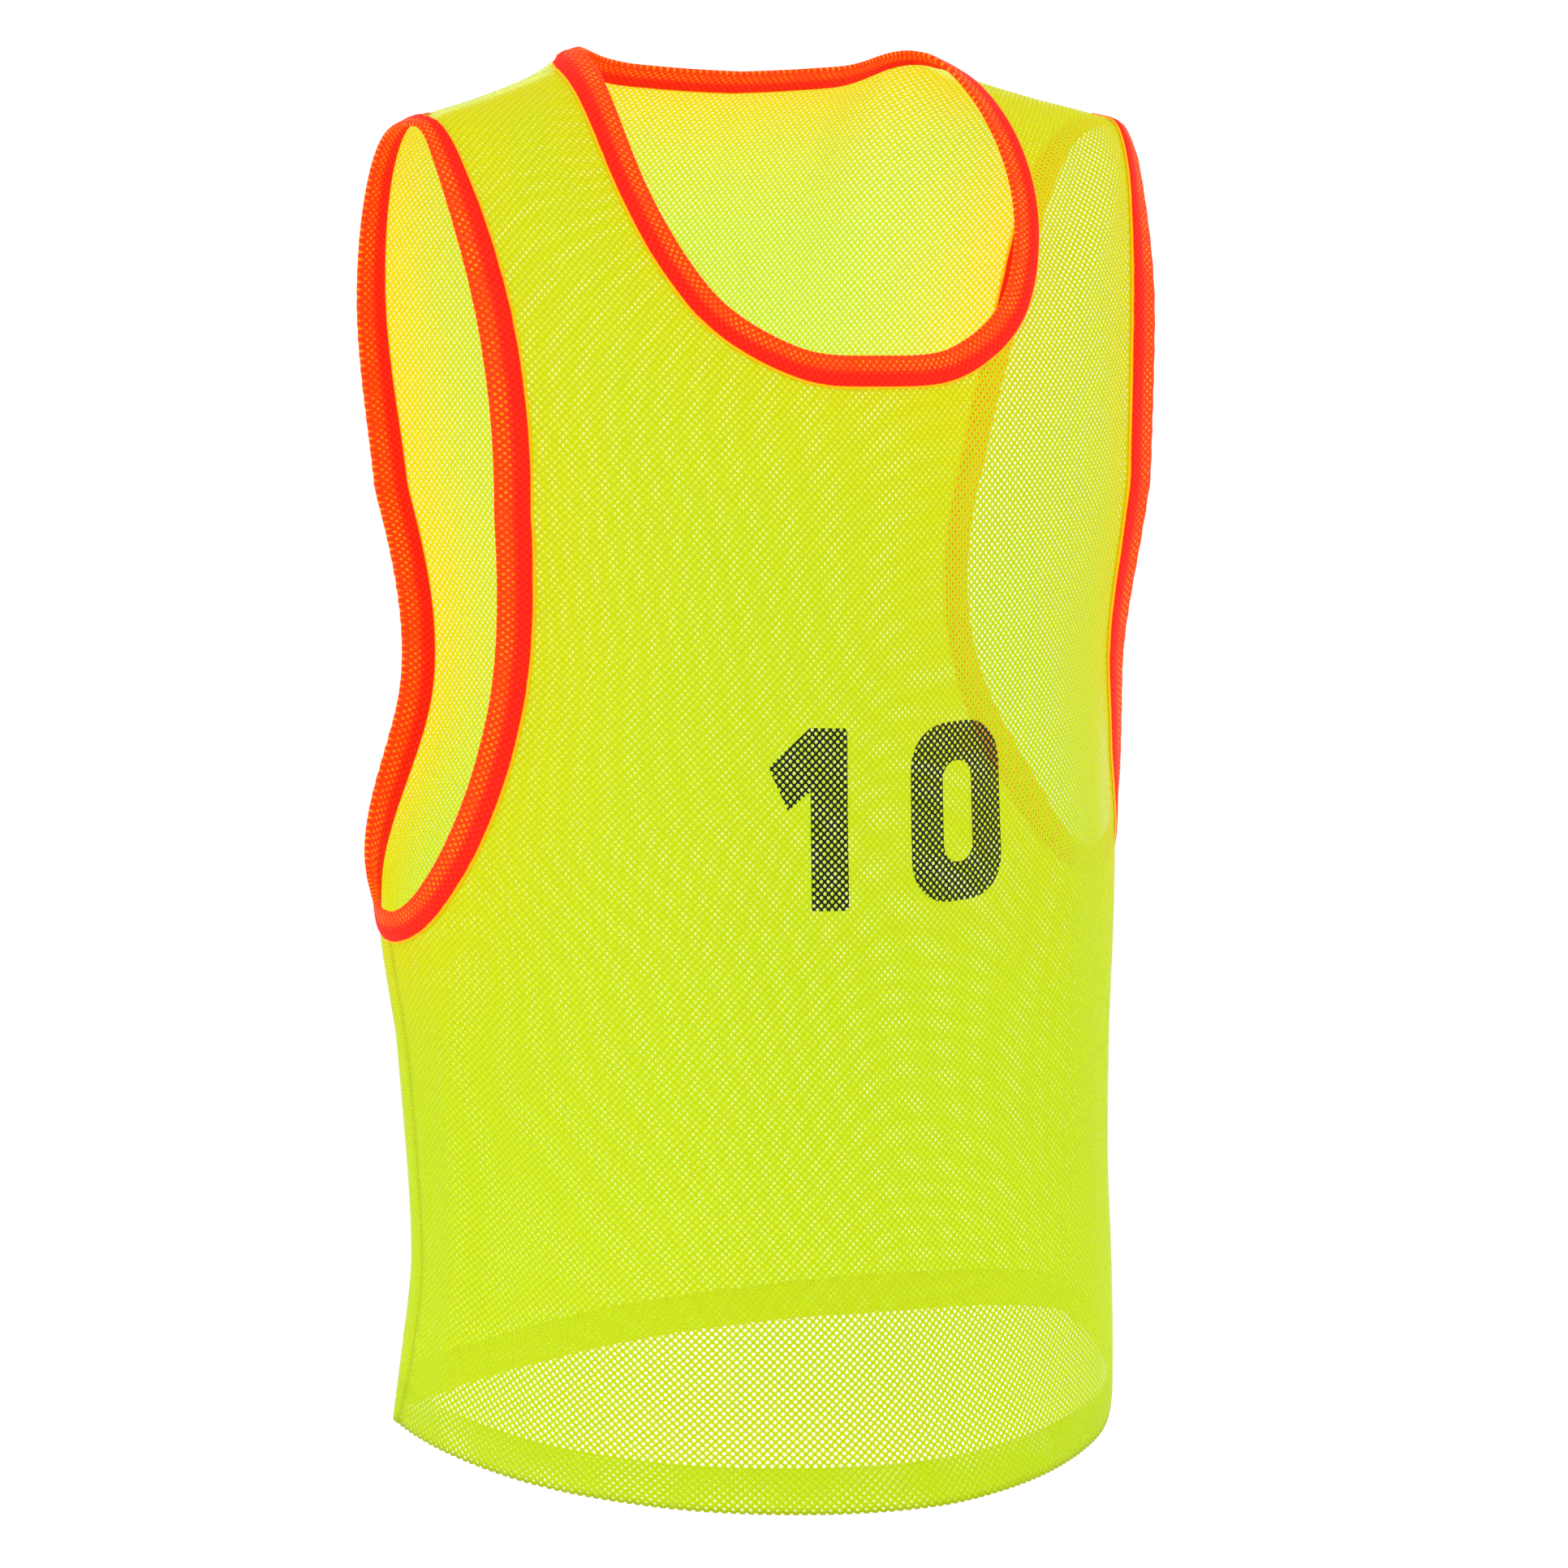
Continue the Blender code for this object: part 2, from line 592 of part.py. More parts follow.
def make_tape(name, side_rows):
    """A closed loop of folded tape over the cloth's raw edge."""
    bm = bmesh.new()
    rings = [[bm.verts.new(point) for point in ring] for ring in tape_ring(side_rows)]
    into = [place[0] for place in tape_section()]
    for ring, following in zip(rings, rings[1:] + rings[:1]):
        for k in range(len(ring)):
            j = (k + 1) % len(ring)
            if into[k] > into[j]:
                bm.faces.new([ring[k], ring[j], following[k]])
                bm.faces.new([ring[j], following[j], following[k]])
            else:
                bm.faces.new([ring[k], ring[j], following[j]])
                bm.faces.new([ring[k], following[j], following[k]])
    return add_object(name, bm, material(name + "_tape", *ORANGE))


def neck_rows():
    """The neck edge all round: the front from right to left, then the back from left to right."""
    front_edge, front_inner = neck_strip("front")
    back_edge, back_inner = neck_strip("back")
    return [("front", front_edge, front_inner),
            ("back", back_edge[-2:0:-1], back_inner[-2:0:-1])]


def armhole_rows(hand):
    """An armhole edge all round: up the front from the underarm, then down the back."""
    front_edge, front_inner = armhole_strip("front", hand)
    back_edge, back_inner = armhole_strip("back", hand)
    return [("front", front_edge, front_inner),
            ("back", back_edge[-2:0:-1], back_inner[-2:0:-1])]


def clear_scene():
    for thing in list(bpy.data.objects):
        bpy.data.objects.remove(thing, do_unlink=True)


def main():
    clear_scene()
    make_panel("front_panel", "front")
    make_panel("back_panel", "back")
    make_tape("neck_binding", neck_rows())
    make_tape("armhole_binding_left", armhole_rows(1))
    make_tape("armhole_binding_right", armhole_rows(-1))


main()
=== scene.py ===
# %% [markdown]
# # A mesh training bib, worn by nobody
#
# The real thing is two panels of open knitted mesh in fluorescent yellow, edged round the
# neck and the armholes with folded tape in fluorescent orange. This lesson dresses the
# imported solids, which carry the size and the shape, with thin cloth that has the real
# mesh's holes, hem, seams and creases. Everything is in metres, in the solids' own frame.

# %% Load the frame
import math

import bpy
import numpy as np
from mathutils import Matrix, Vector
from mathutils.geometry import delaunay_2d_cdt
from mathutils.kdtree import KDTree


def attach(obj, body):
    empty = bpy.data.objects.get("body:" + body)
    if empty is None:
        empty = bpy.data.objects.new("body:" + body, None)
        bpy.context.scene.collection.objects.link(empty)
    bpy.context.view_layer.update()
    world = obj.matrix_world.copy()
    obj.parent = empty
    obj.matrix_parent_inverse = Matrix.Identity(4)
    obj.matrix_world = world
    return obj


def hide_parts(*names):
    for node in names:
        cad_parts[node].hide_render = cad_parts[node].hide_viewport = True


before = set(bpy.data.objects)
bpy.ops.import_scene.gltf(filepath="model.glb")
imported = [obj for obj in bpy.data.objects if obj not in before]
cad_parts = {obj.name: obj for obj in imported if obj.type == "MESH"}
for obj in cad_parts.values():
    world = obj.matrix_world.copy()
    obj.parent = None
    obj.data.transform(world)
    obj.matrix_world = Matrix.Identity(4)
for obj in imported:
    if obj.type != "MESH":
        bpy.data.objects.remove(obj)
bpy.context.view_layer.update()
MM = 0.001
print("solids:", sorted(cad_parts))

# %% [markdown]
# ## Camera
#
# The photograph looks down a little on the bib's right breast. Its focal length was found
# from how fast the far side shrinks against the near side, and is kept in pixels of the
# square photograph, so the lens follows from the sensor's width.

# %% Camera
PHOTO_SIDE = 1932
FOCAL_PIXELS = 4568
SENSOR_MM = 36.0
TURN = math.radians(30.0)
TILT = math.radians(10.2)
DISTANCE = 1.892
AIM = Vector((0.0, 0.0, -0.320))
AIM_RIGHT = 0.014
AIM_UP = -0.035

forward = Vector((math.cos(TILT) * math.sin(TURN), math.cos(TILT) * math.cos(TURN),
                  -math.sin(TILT)))
right = Vector((math.cos(TURN), -math.sin(TURN), 0.0))
up = right.cross(forward)
camera_data = bpy.data.cameras.new("camera")
camera_data.sensor_width = SENSOR_MM
camera_data.lens = FOCAL_PIXELS / PHOTO_SIDE * SENSOR_MM
camera = bpy.data.objects.new("camera", camera_data)
bpy.context.collection.objects.link(camera)
place = AIM - DISTANCE * forward + AIM_RIGHT * right + AIM_UP * up
turned = Matrix((right, up, -forward)).transposed().to_4x4()
camera.matrix_world = Matrix.Translation(place) @ turned
bpy.context.scene.camera = camera
print("lens in mm:", round(camera_data.lens, 1))

# %% [markdown]
# ## Colours and nodes
#
# Colours are written as they look on a screen, in hex. Light adds up in linear numbers, so
# one function turns them. Another adds a node with its settings and its links, which keeps
# each material short enough to read as a recipe.


# %% Colour and node helpers
def linear(code):
    """Linear colour of an sRGB hex code."""
    channels = [int(code[i:i + 2], 16) / 255 for i in (1, 3, 5)]
    bright = [c / 12.92 if c <= 0.04045 else ((c + 0.055) / 1.055) ** 2.4 for c in channels]
    return (*bright, 1.0)


def add_node(tree, kind, settings=None, links=None):
    """Adds a node. Settings are its own choices or its inputs, links are what feeds it."""
    node = tree.nodes.new("ShaderNode" + kind)
    for key, value in (settings or {}).items():
        if isinstance(key, str) and hasattr(node, key):
            setattr(node, key, value)
        else:
            node.inputs[key].default_value = value
    for key, socket in (links or {}).items():
        tree.links.new(socket, node.inputs[key])
    return node


def new_material(name):
    """An empty node material, with its tree."""
    made = bpy.data.materials.new(name)
    made.use_nodes = True
    made.node_tree.nodes.clear()
    return made, made.node_tree


# %% [markdown]
# ## Floor and light
#
# The photograph is shot on white with light from all round, so that hardly a shadow shows.
# A white sky does most of that. A wide soft lamp above and to the left gives the folds a
# little shape, and one on each side lights the rounded sides, which are paler in the
# photograph. A pale floor far below, where a wearer would stand, sends light up through
# the hem.

# %% Floor and light
FLOOR_HEIGHT = -1.45
FLOOR_HALF = 40.0
SKY_STRENGTH = 1.06

floor_mesh = bpy.data.meshes.new("floor")
corners = [(x * FLOOR_HALF, y * FLOOR_HALF, FLOOR_HEIGHT)
           for x, y in ((-1, -1), (1, -1), (1, 1), (-1, 1))]
floor_mesh.from_pydata(corners, [], [(0, 1, 2, 3)])
floor = bpy.data.objects.new("floor", floor_mesh)
bpy.context.collection.objects.link(floor)
paper, tree = new_material("white_paper")
shader = add_node(tree, "BsdfPrincipled", {"Base Color": linear("#FBFBFB"), "Roughness": 0.9})
add_node(tree, "OutputMaterial", links={"Surface": shader.outputs[0]})
floor_mesh.materials.append(paper)

sky = bpy.data.worlds.new("white_sky")
sky.use_nodes = True
sky.node_tree.nodes["Background"].inputs["Color"].default_value = linear("#FFFFFF")
sky.node_tree.nodes["Background"].inputs["Strength"].default_value = SKY_STRENGTH
bpy.context.scene.world = sky

LAMPS = [
    # name, power in watts, size, place, aim
    ("soft_key", 14.0, 1.6, (-1.5, -2.1, 1.3), (0.0, 0.0, -0.3)),
    ("side_right", 9.0, 1.4, (2.3, 0.1, 0.0), (0.0, 0.0, -0.3)),
    ("side_left", 7.0, 1.4, (-2.4, 0.5, 0.0), (0.0, 0.0, -0.3)),
]
for name, power, size, spot, aim in LAMPS:
    lamp_data = bpy.data.lights.new(name, "AREA")
    lamp_data.energy = power
    lamp_data.size = size
    lamp = bpy.data.objects.new(name, lamp_data)
    lamp.location = spot
    lamp.rotation_euler = (Vector(aim) - Vector(spot)).to_track_quat("-Z", "Y").to_euler()
    bpy.context.collection.objects.link(lamp)
bpy.context.scene.view_settings.view_transform = "Standard"
bpy.context.scene.cycles.transparent_max_bounces = 40
bpy.context.scene.cycles.diffuse_bounces = 6
bpy.context.scene.cycles.max_bounces = 12

# %% [markdown]
# ## The cloth's form
#
# Each panel starts as its flat pattern: u runs across from the centre line, v runs up from
# the hem. A few level sections and the shoulder line give the filled-out shape, and columns
# of equal cloth run over it, so that one flat point always lands on one place in space. The
# tables are the solids' own, so the thin cloth lies on them without any fitting. Along the
# armholes it turns outward a few millimetres, as the weight of the tape bends it.

# %% Sizes of the cut
TAPE_WIDTH = 14.0 * MM
HEM_DEPTH = 22.0 * MM
HALF_WIDTH = 0.268
UNDERARM = 0.267
NECK_X = 0.098
TIP_X = 0.199
# height, half width, extra half width of the back, front depth, back depth,
# depth of the side seam, roundness of the front, roundness of the back
SECTIONS = [
    (-0.682, 0.201, 0.000, 0.204, 0.096, 0.012, 1.75, 1.80),
    (-0.640, 0.196, 0.000, 0.183, 0.100, 0.005, 1.90, 2.00),
    (-0.580, 0.192, 0.000, 0.164, 0.104, -0.001, 2.00, 2.00),
    (-0.480, 0.197, 0.000, 0.151, 0.108, -0.001, 2.00, 2.00),
    (-0.403, 0.204, 0.000, 0.143, 0.108, 0.004, 2.00, 2.00),
    (-0.365, 0.203, 0.003, 0.141, 0.094, 0.004, 1.95, 2.05),
    (-0.300, 0.204, 0.000, 0.138, 0.080, 0.003, 1.85, 2.05),
    (-0.200, 0.212, 0.010, 0.130, 0.084, 0.002, 2.20, 2.20),
]
# distance from the centre, depth, height, extra height of the back inside the neck,
# fullness of the front, fullness of the back
SHOULDER = [
    (0.000, -0.002, 0.030, -0.023, 1.7, 1.8),
    (0.060, 0.000, 0.024, -0.014, 1.7, 1.9),
    (0.098, 0.004, 0.012, 0.000, 1.8, 2.1),
    (0.119, 0.000, 0.001, 0.000, 1.9, 2.1),
    (0.150, -0.010, -0.009, 0.000, 2.2, 2.2),
    (0.194, -0.023, -0.021, 0.000, 3.0, 2.6),
    (0.240, -0.036, -0.038, 0.000, 3.0, 2.6),
]
# share of the half width, drop of the front, drop of the back
HEM_DROP = [(-1.0, -0.016, -0.016), (-0.6, -0.007, -0.004), (0.0, -0.003, 0.000),
            (0.5, 0.002, 0.000), (1.0, -0.009, -0.009)]
HEM_DROP_HEIGHT = 0.20
# across, up
FRONT_NECK = [(0.000, 0.554), (0.042, 0.557), (0.080, 0.583), (0.101, 0.643)]
FRONT_ARMHOLE = [(HALF_WIDTH, UNDERARM), (0.236, 0.287), (0.205, 0.350), (0.185, 0.455),
                 (0.189, 0.560)]
BACK_ARMHOLE = [(HALF_WIDTH, UNDERARM), (0.238, 0.287), (0.200, 0.355), (0.185, 0.455),
                (0.206, 0.572)]
# across, below the shoulder line
BACK_NECK_DROP = [(0.000, 0.017), (0.045, 0.018), (0.078, 0.018), (0.094, 0.011)]
# how far the armhole edges stand outward: up, front, back
FLARE = [
    (0.267, 0.002, 0.002),
    (0.300, 0.003, 0.006),
    (0.360, 0.005, 0.010),
    (0.460, 0.008, 0.009),
    (0.560, 0.009, 0.006),
    (0.640, 0.003, 0.002),
    (0.680, 0.000, 0.000),
]
FLARE_REACH = 0.026

# %% Creases, placed one by one
# panel, across and up at the start, across and up at the end, width, height
CREASES = [
    ("front", -0.232, 0.235, -0.240, 0.020, 0.011, 0.0035),
    ("front", -0.205, 0.230, -0.212, 0.050, 0.014, -0.0030),
    ("front", -0.150, 0.440, -0.185, 0.080, 0.026, -0.0035),
    ("front", -0.085, 0.330, -0.110, 0.020, 0.024, 0.0025),
    ("front", 0.020, 0.250, 0.010, 0.010, 0.030, -0.0025),
    ("front", 0.110, 0.400, 0.120, 0.020, 0.026, 0.0030),
    ("front", 0.185, 0.330, 0.200, 0.030, 0.018, -0.0025),
    ("front", 0.180, 0.640, 0.130, 0.575, 0.009, 0.0022),
    ("front", 0.160, 0.655, 0.118, 0.600, 0.008, -0.0020),
    ("front", -0.172, 0.600, -0.128, 0.545, 0.012, -0.0018),
    ("back", -0.200, 0.240, -0.210, 0.030, 0.014, 0.0030),
    ("back", -0.120, 0.420, -0.135, 0.040, 0.026, -0.0035),
    ("back", -0.030, 0.360, -0.040, 0.020, 0.028, 0.0030),
    ("back", 0.060, 0.400, 0.055, 0.030, 0.024, -0.0030),
    ("back", 0.140, 0.380, 0.150, 0.020, 0.022, 0.0030),
    ("back", 0.205, 0.230, 0.215, 0.040, 0.014, -0.0030),
    ("back", 0.150, 0.610, 0.090, 0.560, 0.012, -0.0020),
]
CREASE_END = 0.55
CREASE_FADE = 0.035

# %% The form as functions
COLUMNS = 73
LOW_ROWS = 90
TOP_ROWS = 60
CURVE_POINTS = 400
NORMAL_STEP = 1.5 * MM


def hermite(t, span, start, start_way, end, end_way):
    """A smooth curve between two values with a given slope at each."""
    return ((2 * t**3 - 3 * t**2 + 1) * start + (t**3 - 2 * t**2 + t) * span * start_way
            + (3 * t**2 - 2 * t**3) * end + (t**3 - t**2) * span * end_way)


def table_rows(table, places):
    """Rows of a table at any places, by a smooth curve that never overshoots it."""
    rows = np.array(table, float)
    keys, values = rows[:, 0], rows[:, 1:]
    slopes = np.diff(values, axis=0) / np.diff(keys)[:, None]
    ways = np.vstack([slopes[:1], slopes])
    before, after = slopes[:-1], slopes[1:]
    same = before * after > 0.0
    ways[1:-1] = np.where(same, 2.0 * before * after / np.where(same, before + after, 1.0), 0.0)
    i = np.clip(np.searchsorted(keys, places) - 1, 0, len(keys) - 2)
    span = (keys[i + 1] - keys[i])[:, None]
    t = (np.asarray(places) - keys[i])[:, None] / span
    return hermite(t, span, values[i], ways[i], values[i + 1], ways[i + 1])


def run_length(points):
    """Length along a row of points, up to each of them."""
    steps = np.linalg.norm(np.diff(points, axis=0), axis=1)
    return np.concatenate([[0.0], np.cumsum(steps)])


def column_grid(side, hand):
    """One half of a panel in space: rows from the hem up, columns from the centre out."""
    which = 0 if side == "front" else 1
    rows = []
    for height in np.linspace(SECTIONS[0][0], SECTIONS[-1][0], LOW_ROWS):
        row = table_rows(SECTIONS, [height])[0]
        half, extra, front, back, seam_y, front_round, back_round = row
        half, depth = half + which * extra, (back if which else -front)
        power = 2.0 / (back_round if which else front_round)
        angles = np.linspace(0.0, math.pi / 2, CURVE_POINTS)
        line = np.column_stack([half * np.sin(angles) ** power,
                                seam_y + depth * np.cos(angles) ** power])
        length = run_length(line)
        even = np.linspace(0.0, length[-1], COLUMNS)
        rows.append(np.column_stack([np.interp(even, length, line[:, 0]),
                                     np.interp(even, length, line[:, 1]),
                                     np.full(COLUMNS, height)]))
    start = rows[-1]
    ridge = table_rows(SHOULDER, start[:, 0])
    ridge_z = ridge[:, 1] + which * ridge[:, 2]
    for angle in np.linspace(0.0, math.pi / 2, TOP_ROWS + 1)[1:]:
        lean = max(math.cos(angle), 0.0) ** (2.0 / ridge[:, 3 + which])
        rise = math.sin(angle) ** (2.0 / ridge[:, 3 + which])
        rows.append(np.column_stack([start[:, 0],
                                     ridge[:, 0] + (start[:, 1] - ridge[:, 0]) * lean,
                                     start[:, 2] + (ridge_z - start[:, 2]) * rise]))
    grid = np.array(rows)
    drop = table_rows(HEM_DROP, hand * np.linspace(0.0, 1.0, COLUMNS))[:, which]
    fade = np.clip(1.0 - (grid[:, :, 2] - SECTIONS[0][0]) / HEM_DROP_HEIGHT, 0.0, 1.0) ** 2
    grid[:, :, 2] -= fade * drop
    grid[:, :, 0] *= hand
    lengths = np.linalg.norm(np.diff(grid, axis=0), axis=2)
    return grid, np.vstack([np.zeros((1, COLUMNS)), np.cumsum(lengths, axis=0)])


FORM = {(side, hand): column_grid(side, hand) for side in ("front", "back") for hand in (-1, 1)}


def columns_at(u):
    """Column number and share towards the next, for places across the cloth."""
    place = np.clip(np.abs(u) / HALF_WIDTH, 0.0, 1.0) * (COLUMNS - 1)
    number = np.minimum(place.astype(int), COLUMNS - 2)
    return number, place - number


def shoulder_v(side, u):
    """How far up the cloth the shoulder line lies, at places across it."""
    u = np.atleast_1d(np.asarray(u, float))
    number, share = columns_at(u)
    tops = {hand: FORM[(side, hand)][1][-1] for hand in (-1, 1)}
    top = np.where(u[:, None] >= 0, tops[1][None], tops[-1][None])
    every = np.arange(len(u))
    return top[every, number] * (1.0 - share) + top[every, number + 1] * share


def smooth_points(side, flat):
    """Points in space of flat points, before creases."""
    number, share = columns_at(flat[:, 0])
    found = np.zeros((len(flat), 3))
    for hand in (-1, 1):
        grid, length = FORM[(side, hand)]
        mine = (flat[:, 0] >= 0) == (hand > 0)
        for column in range(COLUMNS):
            for ahead, weight in ((0, 1.0 - share), (1, share)):
                here = mine & (number + ahead == column)
                if here.any():
                    for axis in range(3):
                        value = np.interp(flat[here, 1], length[:, column], grid[:, column, axis])
                        found[here, axis] += weight[here] * value
    return found


def smooth_normals(side, flat):
    """Outward directions of the uncreased cloth."""
    u = np.clip(flat[:, 0], -HALF_WIDTH, HALF_WIDTH)
    top = shoulder_v(side, u)
    v = np.clip(flat[:, 1], 0.0, top)
    ends = [np.column_stack([np.clip(u + way * NORMAL_STEP, -HALF_WIDTH, HALF_WIDTH), v])
            for way in (1, -1)]
    levels = [np.column_stack([u, np.clip(v + way * NORMAL_STEP, 0.0, top)]) for way in (1, -1)]
    across = smooth_points(side, ends[0]) - smooth_points(side, ends[1])
    upward = smooth_points(side, levels[0]) - smooth_points(side, levels[1])
    normal = np.cross(across, upward) * (1.0 if side == "front" else -1.0)
    return normal / np.linalg.norm(normal, axis=1)[:, None]


def ease(t):
    """A smooth step from 0 to 1."""
    t = np.clip(t, 0.0, 1.0)
    return t * t * (3.0 - 2.0 * t)


def crease_height(side, flat):
    """Height of all the creases at flat points, dying away towards the seams."""
    u, v = flat[:, 0], flat[:, 1]
    total = np.zeros(len(flat))
    for panel, u0, v0, u1, v1, width, height in CREASES:
        if panel == side:
            run_u, run_v = u1 - u0, v1 - v0
            along = ((u - u0) * run_u + (v - v0) * run_v) / (run_u**2 + run_v**2)
            inside = np.clip(along, 0.0, 1.0)
            away = np.hypot(u - u0 - inside * run_u, v - v0 - inside * run_v)
            swell = CREASE_END + (1.0 - CREASE_END) * np.sin(math.pi * inside)
            total += height * np.exp(-(away / width) ** 2) * swell
    return total * ease((HALF_WIDTH - np.abs(u)) / CREASE_FADE)


def smooth_curve(points, first_way):
    """Dense flat curve through a few points, leaving the first in a given direction."""
    points = np.array(points, float)
    length = run_length(points)
    ways = np.zeros_like(points)
    ways[1:-1] = (points[2:] - points[:-2]) / (length[2:] - length[:-2])[:, None]
    ways[0] = first_way
    ways[-1] = (points[-1] - points[-2]) / (length[-1] - length[-2])
    places = np.linspace(0.0, length[-1], CURVE_POINTS)
    i = np.clip(np.searchsorted(length, places, side="right") - 1, 0, len(points) - 2)
    span = (length[i + 1] - length[i])[:, None]
    t = (places - length[i])[:, None] / span
    return hermite(t, span, points[i], ways[i], points[i + 1], ways[i + 1])


def seam_flat(side, x):
    """Flat point on a panel's shoulder edge, for a distance from the centre."""
    ridge = np.abs(FORM[(side, 1 if x >= 0 else -1)][0][-1, :, 0])
    u = math.copysign(np.interp(abs(x), ridge, np.linspace(0.0, HALF_WIDTH, COLUMNS)), x)
    return np.array([u, shoulder_v(side, u)[0]])


def armhole_outline(side):
    """A panel's armhole edge, from the side seam to the shoulder seam."""
    rows = FRONT_ARMHOLE if side == "front" else BACK_ARMHOLE
    return smooth_curve(rows + [tuple(seam_flat(side, TIP_X))], (-1.0, 0.0))


ARMHOLES = {side: armhole_outline(side) for side in ("front", "back")}


def armhole_distance(side, flat):
    """Distance over the cloth from each flat point to the nearer armhole edge."""
    edge = ARMHOLES[side]
    u, v = np.abs(flat[:, 0]), flat[:, 1]
    return np.array([np.min(np.hypot(edge[:, 0] - a, edge[:, 1] - b)) for a, b in zip(u, v)])


def cloth(side, flat):
    """Points in space and outward directions of flat points, creases included."""
    flat = np.asarray(flat, float)
    normal = smooth_normals(side, flat)
    most = table_rows(FLARE, np.clip(flat[:, 1], FLARE[0][0], FLARE[-1][0]))
    turned = np.maximum(1.0 - armhole_distance(side, flat) / FLARE_REACH, 0.0) ** 2
    height = crease_height(side, flat) + most[:, 0 if side == "front" else 1] * turned
    height *= ease((shoulder_v(side, flat[:, 0]) - flat[:, 1]) / CREASE_FADE)
    return smooth_points(side, flat) + normal * height[:, None], normal


middle = cloth("front", [(0.0, 0.30)])[0][0]
print("front, 300 mm up from the hem, lies at", middle.round(3))

# %% [markdown]
# ## Outlines of the cut
#
# A neckline or an armhole is one smooth curve through a few points, as a pattern cutter
# draws it with a curved rule. It leaves the centre line or the side seam square, and ends
# on the shoulder seam.

# %% Outlines
EDGE_STEP = 4.0 * MM
TAPE_TURN = 39.0 * MM       # the tape turns in line with a seam over this length


def even_points(curve, step):
    """The same curve with points about one step apart, ends kept."""
    length = run_length(curve)
    places = np.linspace(0.0, length[-1], max(2, round(length[-1] / step) + 1))
    return np.column_stack([np.interp(places, length, curve[:, k]) for k in range(2)])


def tape_places(start, end):
    """Distance from the centre, one tape width along the shoulder line from its start."""
    fine = np.linspace(start, end, CURVE_POINTS)
    line = np.column_stack([fine, table_rows(SHOULDER, fine)[:, :2]])
    return float(np.interp(TAPE_WIDTH, run_length(line), fine))


NECK_TAPE_X = tape_places(NECK_X, TIP_X)
TIP_TAPE_X = tape_places(TIP_X, NECK_X)


def taped_edge(edge, facing, last_way):
    """Flat points one tape width into the cloth, square to the edge but along the seams."""
    ways = np.gradient(edge, axis=0)
    ways = facing * np.column_stack([-ways[:, 1], ways[:, 0]])
    ways /= np.linalg.norm(ways, axis=1)[:, None]
    length = run_length(edge)
    for end_way, away in (((0.0, -1.0), length), (last_way, length[-1] - length)):
        hold = (1.0 - ease(away / TAPE_TURN))[:, None]
        ways = ways * (1.0 - hold) + np.array(end_way) * hold
        ways /= np.linalg.norm(ways, axis=1)[:, None]
    return edge + ways * TAPE_WIDTH


def neck_strip(side):
    """Edge row and inner row of the neck, from one shoulder seam to the other."""
    rows = FRONT_NECK
    if side == "back":
        rows = [(u, shoulder_v(side, u)[0] - drop) for u, drop in BACK_NECK_DROP]
    edge = even_points(smooth_curve(rows + [tuple(seam_flat(side, NECK_X))], (1.0, 0.0)), EDGE_STEP)
    end = seam_flat(side, NECK_TAPE_X)
    inner = taped_edge(edge, -1.0, (end - edge[-1]) / np.linalg.norm(end - edge[-1]))
    inner[-1] = end
    flip = np.array([-1.0, 1.0])
    edge = np.vstack([edge[:0:-1] * flip, edge])
    inner = np.vstack([inner[:0:-1] * flip, inner])
    edge[0], inner[0] = seam_flat(side, -NECK_X), seam_flat(side, -NECK_TAPE_X)
    return edge, inner


def armhole_strip(side, hand):
    """Edge row and inner row of an armhole, from the underarm to the shoulder seam."""
    edge = even_points(ARMHOLES[side], EDGE_STEP)
    end = seam_flat(side, TIP_TAPE_X)
    inner = taped_edge(edge, 1.0, (end - edge[-1]) / np.linalg.norm(end - edge[-1]))
    edge, inner = edge * (hand, 1.0), inner * (hand, 1.0)
    edge[-1], inner[-1] = seam_flat(side, hand * TIP_X), seam_flat(side, hand * TIP_TAPE_X)
    return edge, inner


print("neck edge:", round(sum(run_length(neck_strip(s)[0])[-1] for s in ("front", "back")), 3), "m")

# %% [markdown]
# ## Mesh cloth
#
# The panels are polyester mesh, warp-knitted with an open hole every 3.7 mm across and
# 3.9 mm up and another in the middle of each four, so that the threads between them run
# as diagonals. Such a lattice is the product of two waves that cross: where both are high
# there is a hole. The holes are really see-through here, so the far panel and the white
# behind show through, as in the photograph. Loose fibres on the inside blur them, which
# keeps the two layers from beating against each other. Fluorescent dye gives back light
# that it takes from the blue end, so the cloth shines a little by itself, and the thin
# thread lets about a third of the light through. The inside is painted paler and brighter
# and glows more, painted light that stands in for light bouncing round inside. Beside the
# tape and the double cloth of the shoulders it is painted warmer, for the light that comes
# through them.

# %% Mesh cloth
HOLE_ACROSS = 3.70 * MM
HOLE_UP = 3.85 * MM
HOLE_SIZE = 0.27            # the waves' product at the rim of a hole: less is a larger hole
HOLE_SOFT = 0.07


def lattice(tree, flat, across, up_step):
    """Product of two crossed waves, 1 in the middle of each hole."""
    waves = []
    for way in (1.0, -1.0):
        pitch = (2 * math.pi / across, way * 2 * math.pi / up_step, 0.0)
        phase = add_node(tree, "VectorMath", {"operation": "DOT_PRODUCT", 1: pitch}, {0: flat})
        wave = add_node(tree, "Math", {"operation": "COSINE"}, {0: phase.outputs["Value"]})
        half = {"operation": "MULTIPLY_ADD", 1: 0.5, 2: 0.5}
        waves.append(add_node(tree, "Math", half, {0: wave.outputs[0]}).outputs[0])
    both = add_node(tree, "Math", {"operation": "MULTIPLY"}, {0: waves[0], 1: waves[1]})
    return both.outputs[0]


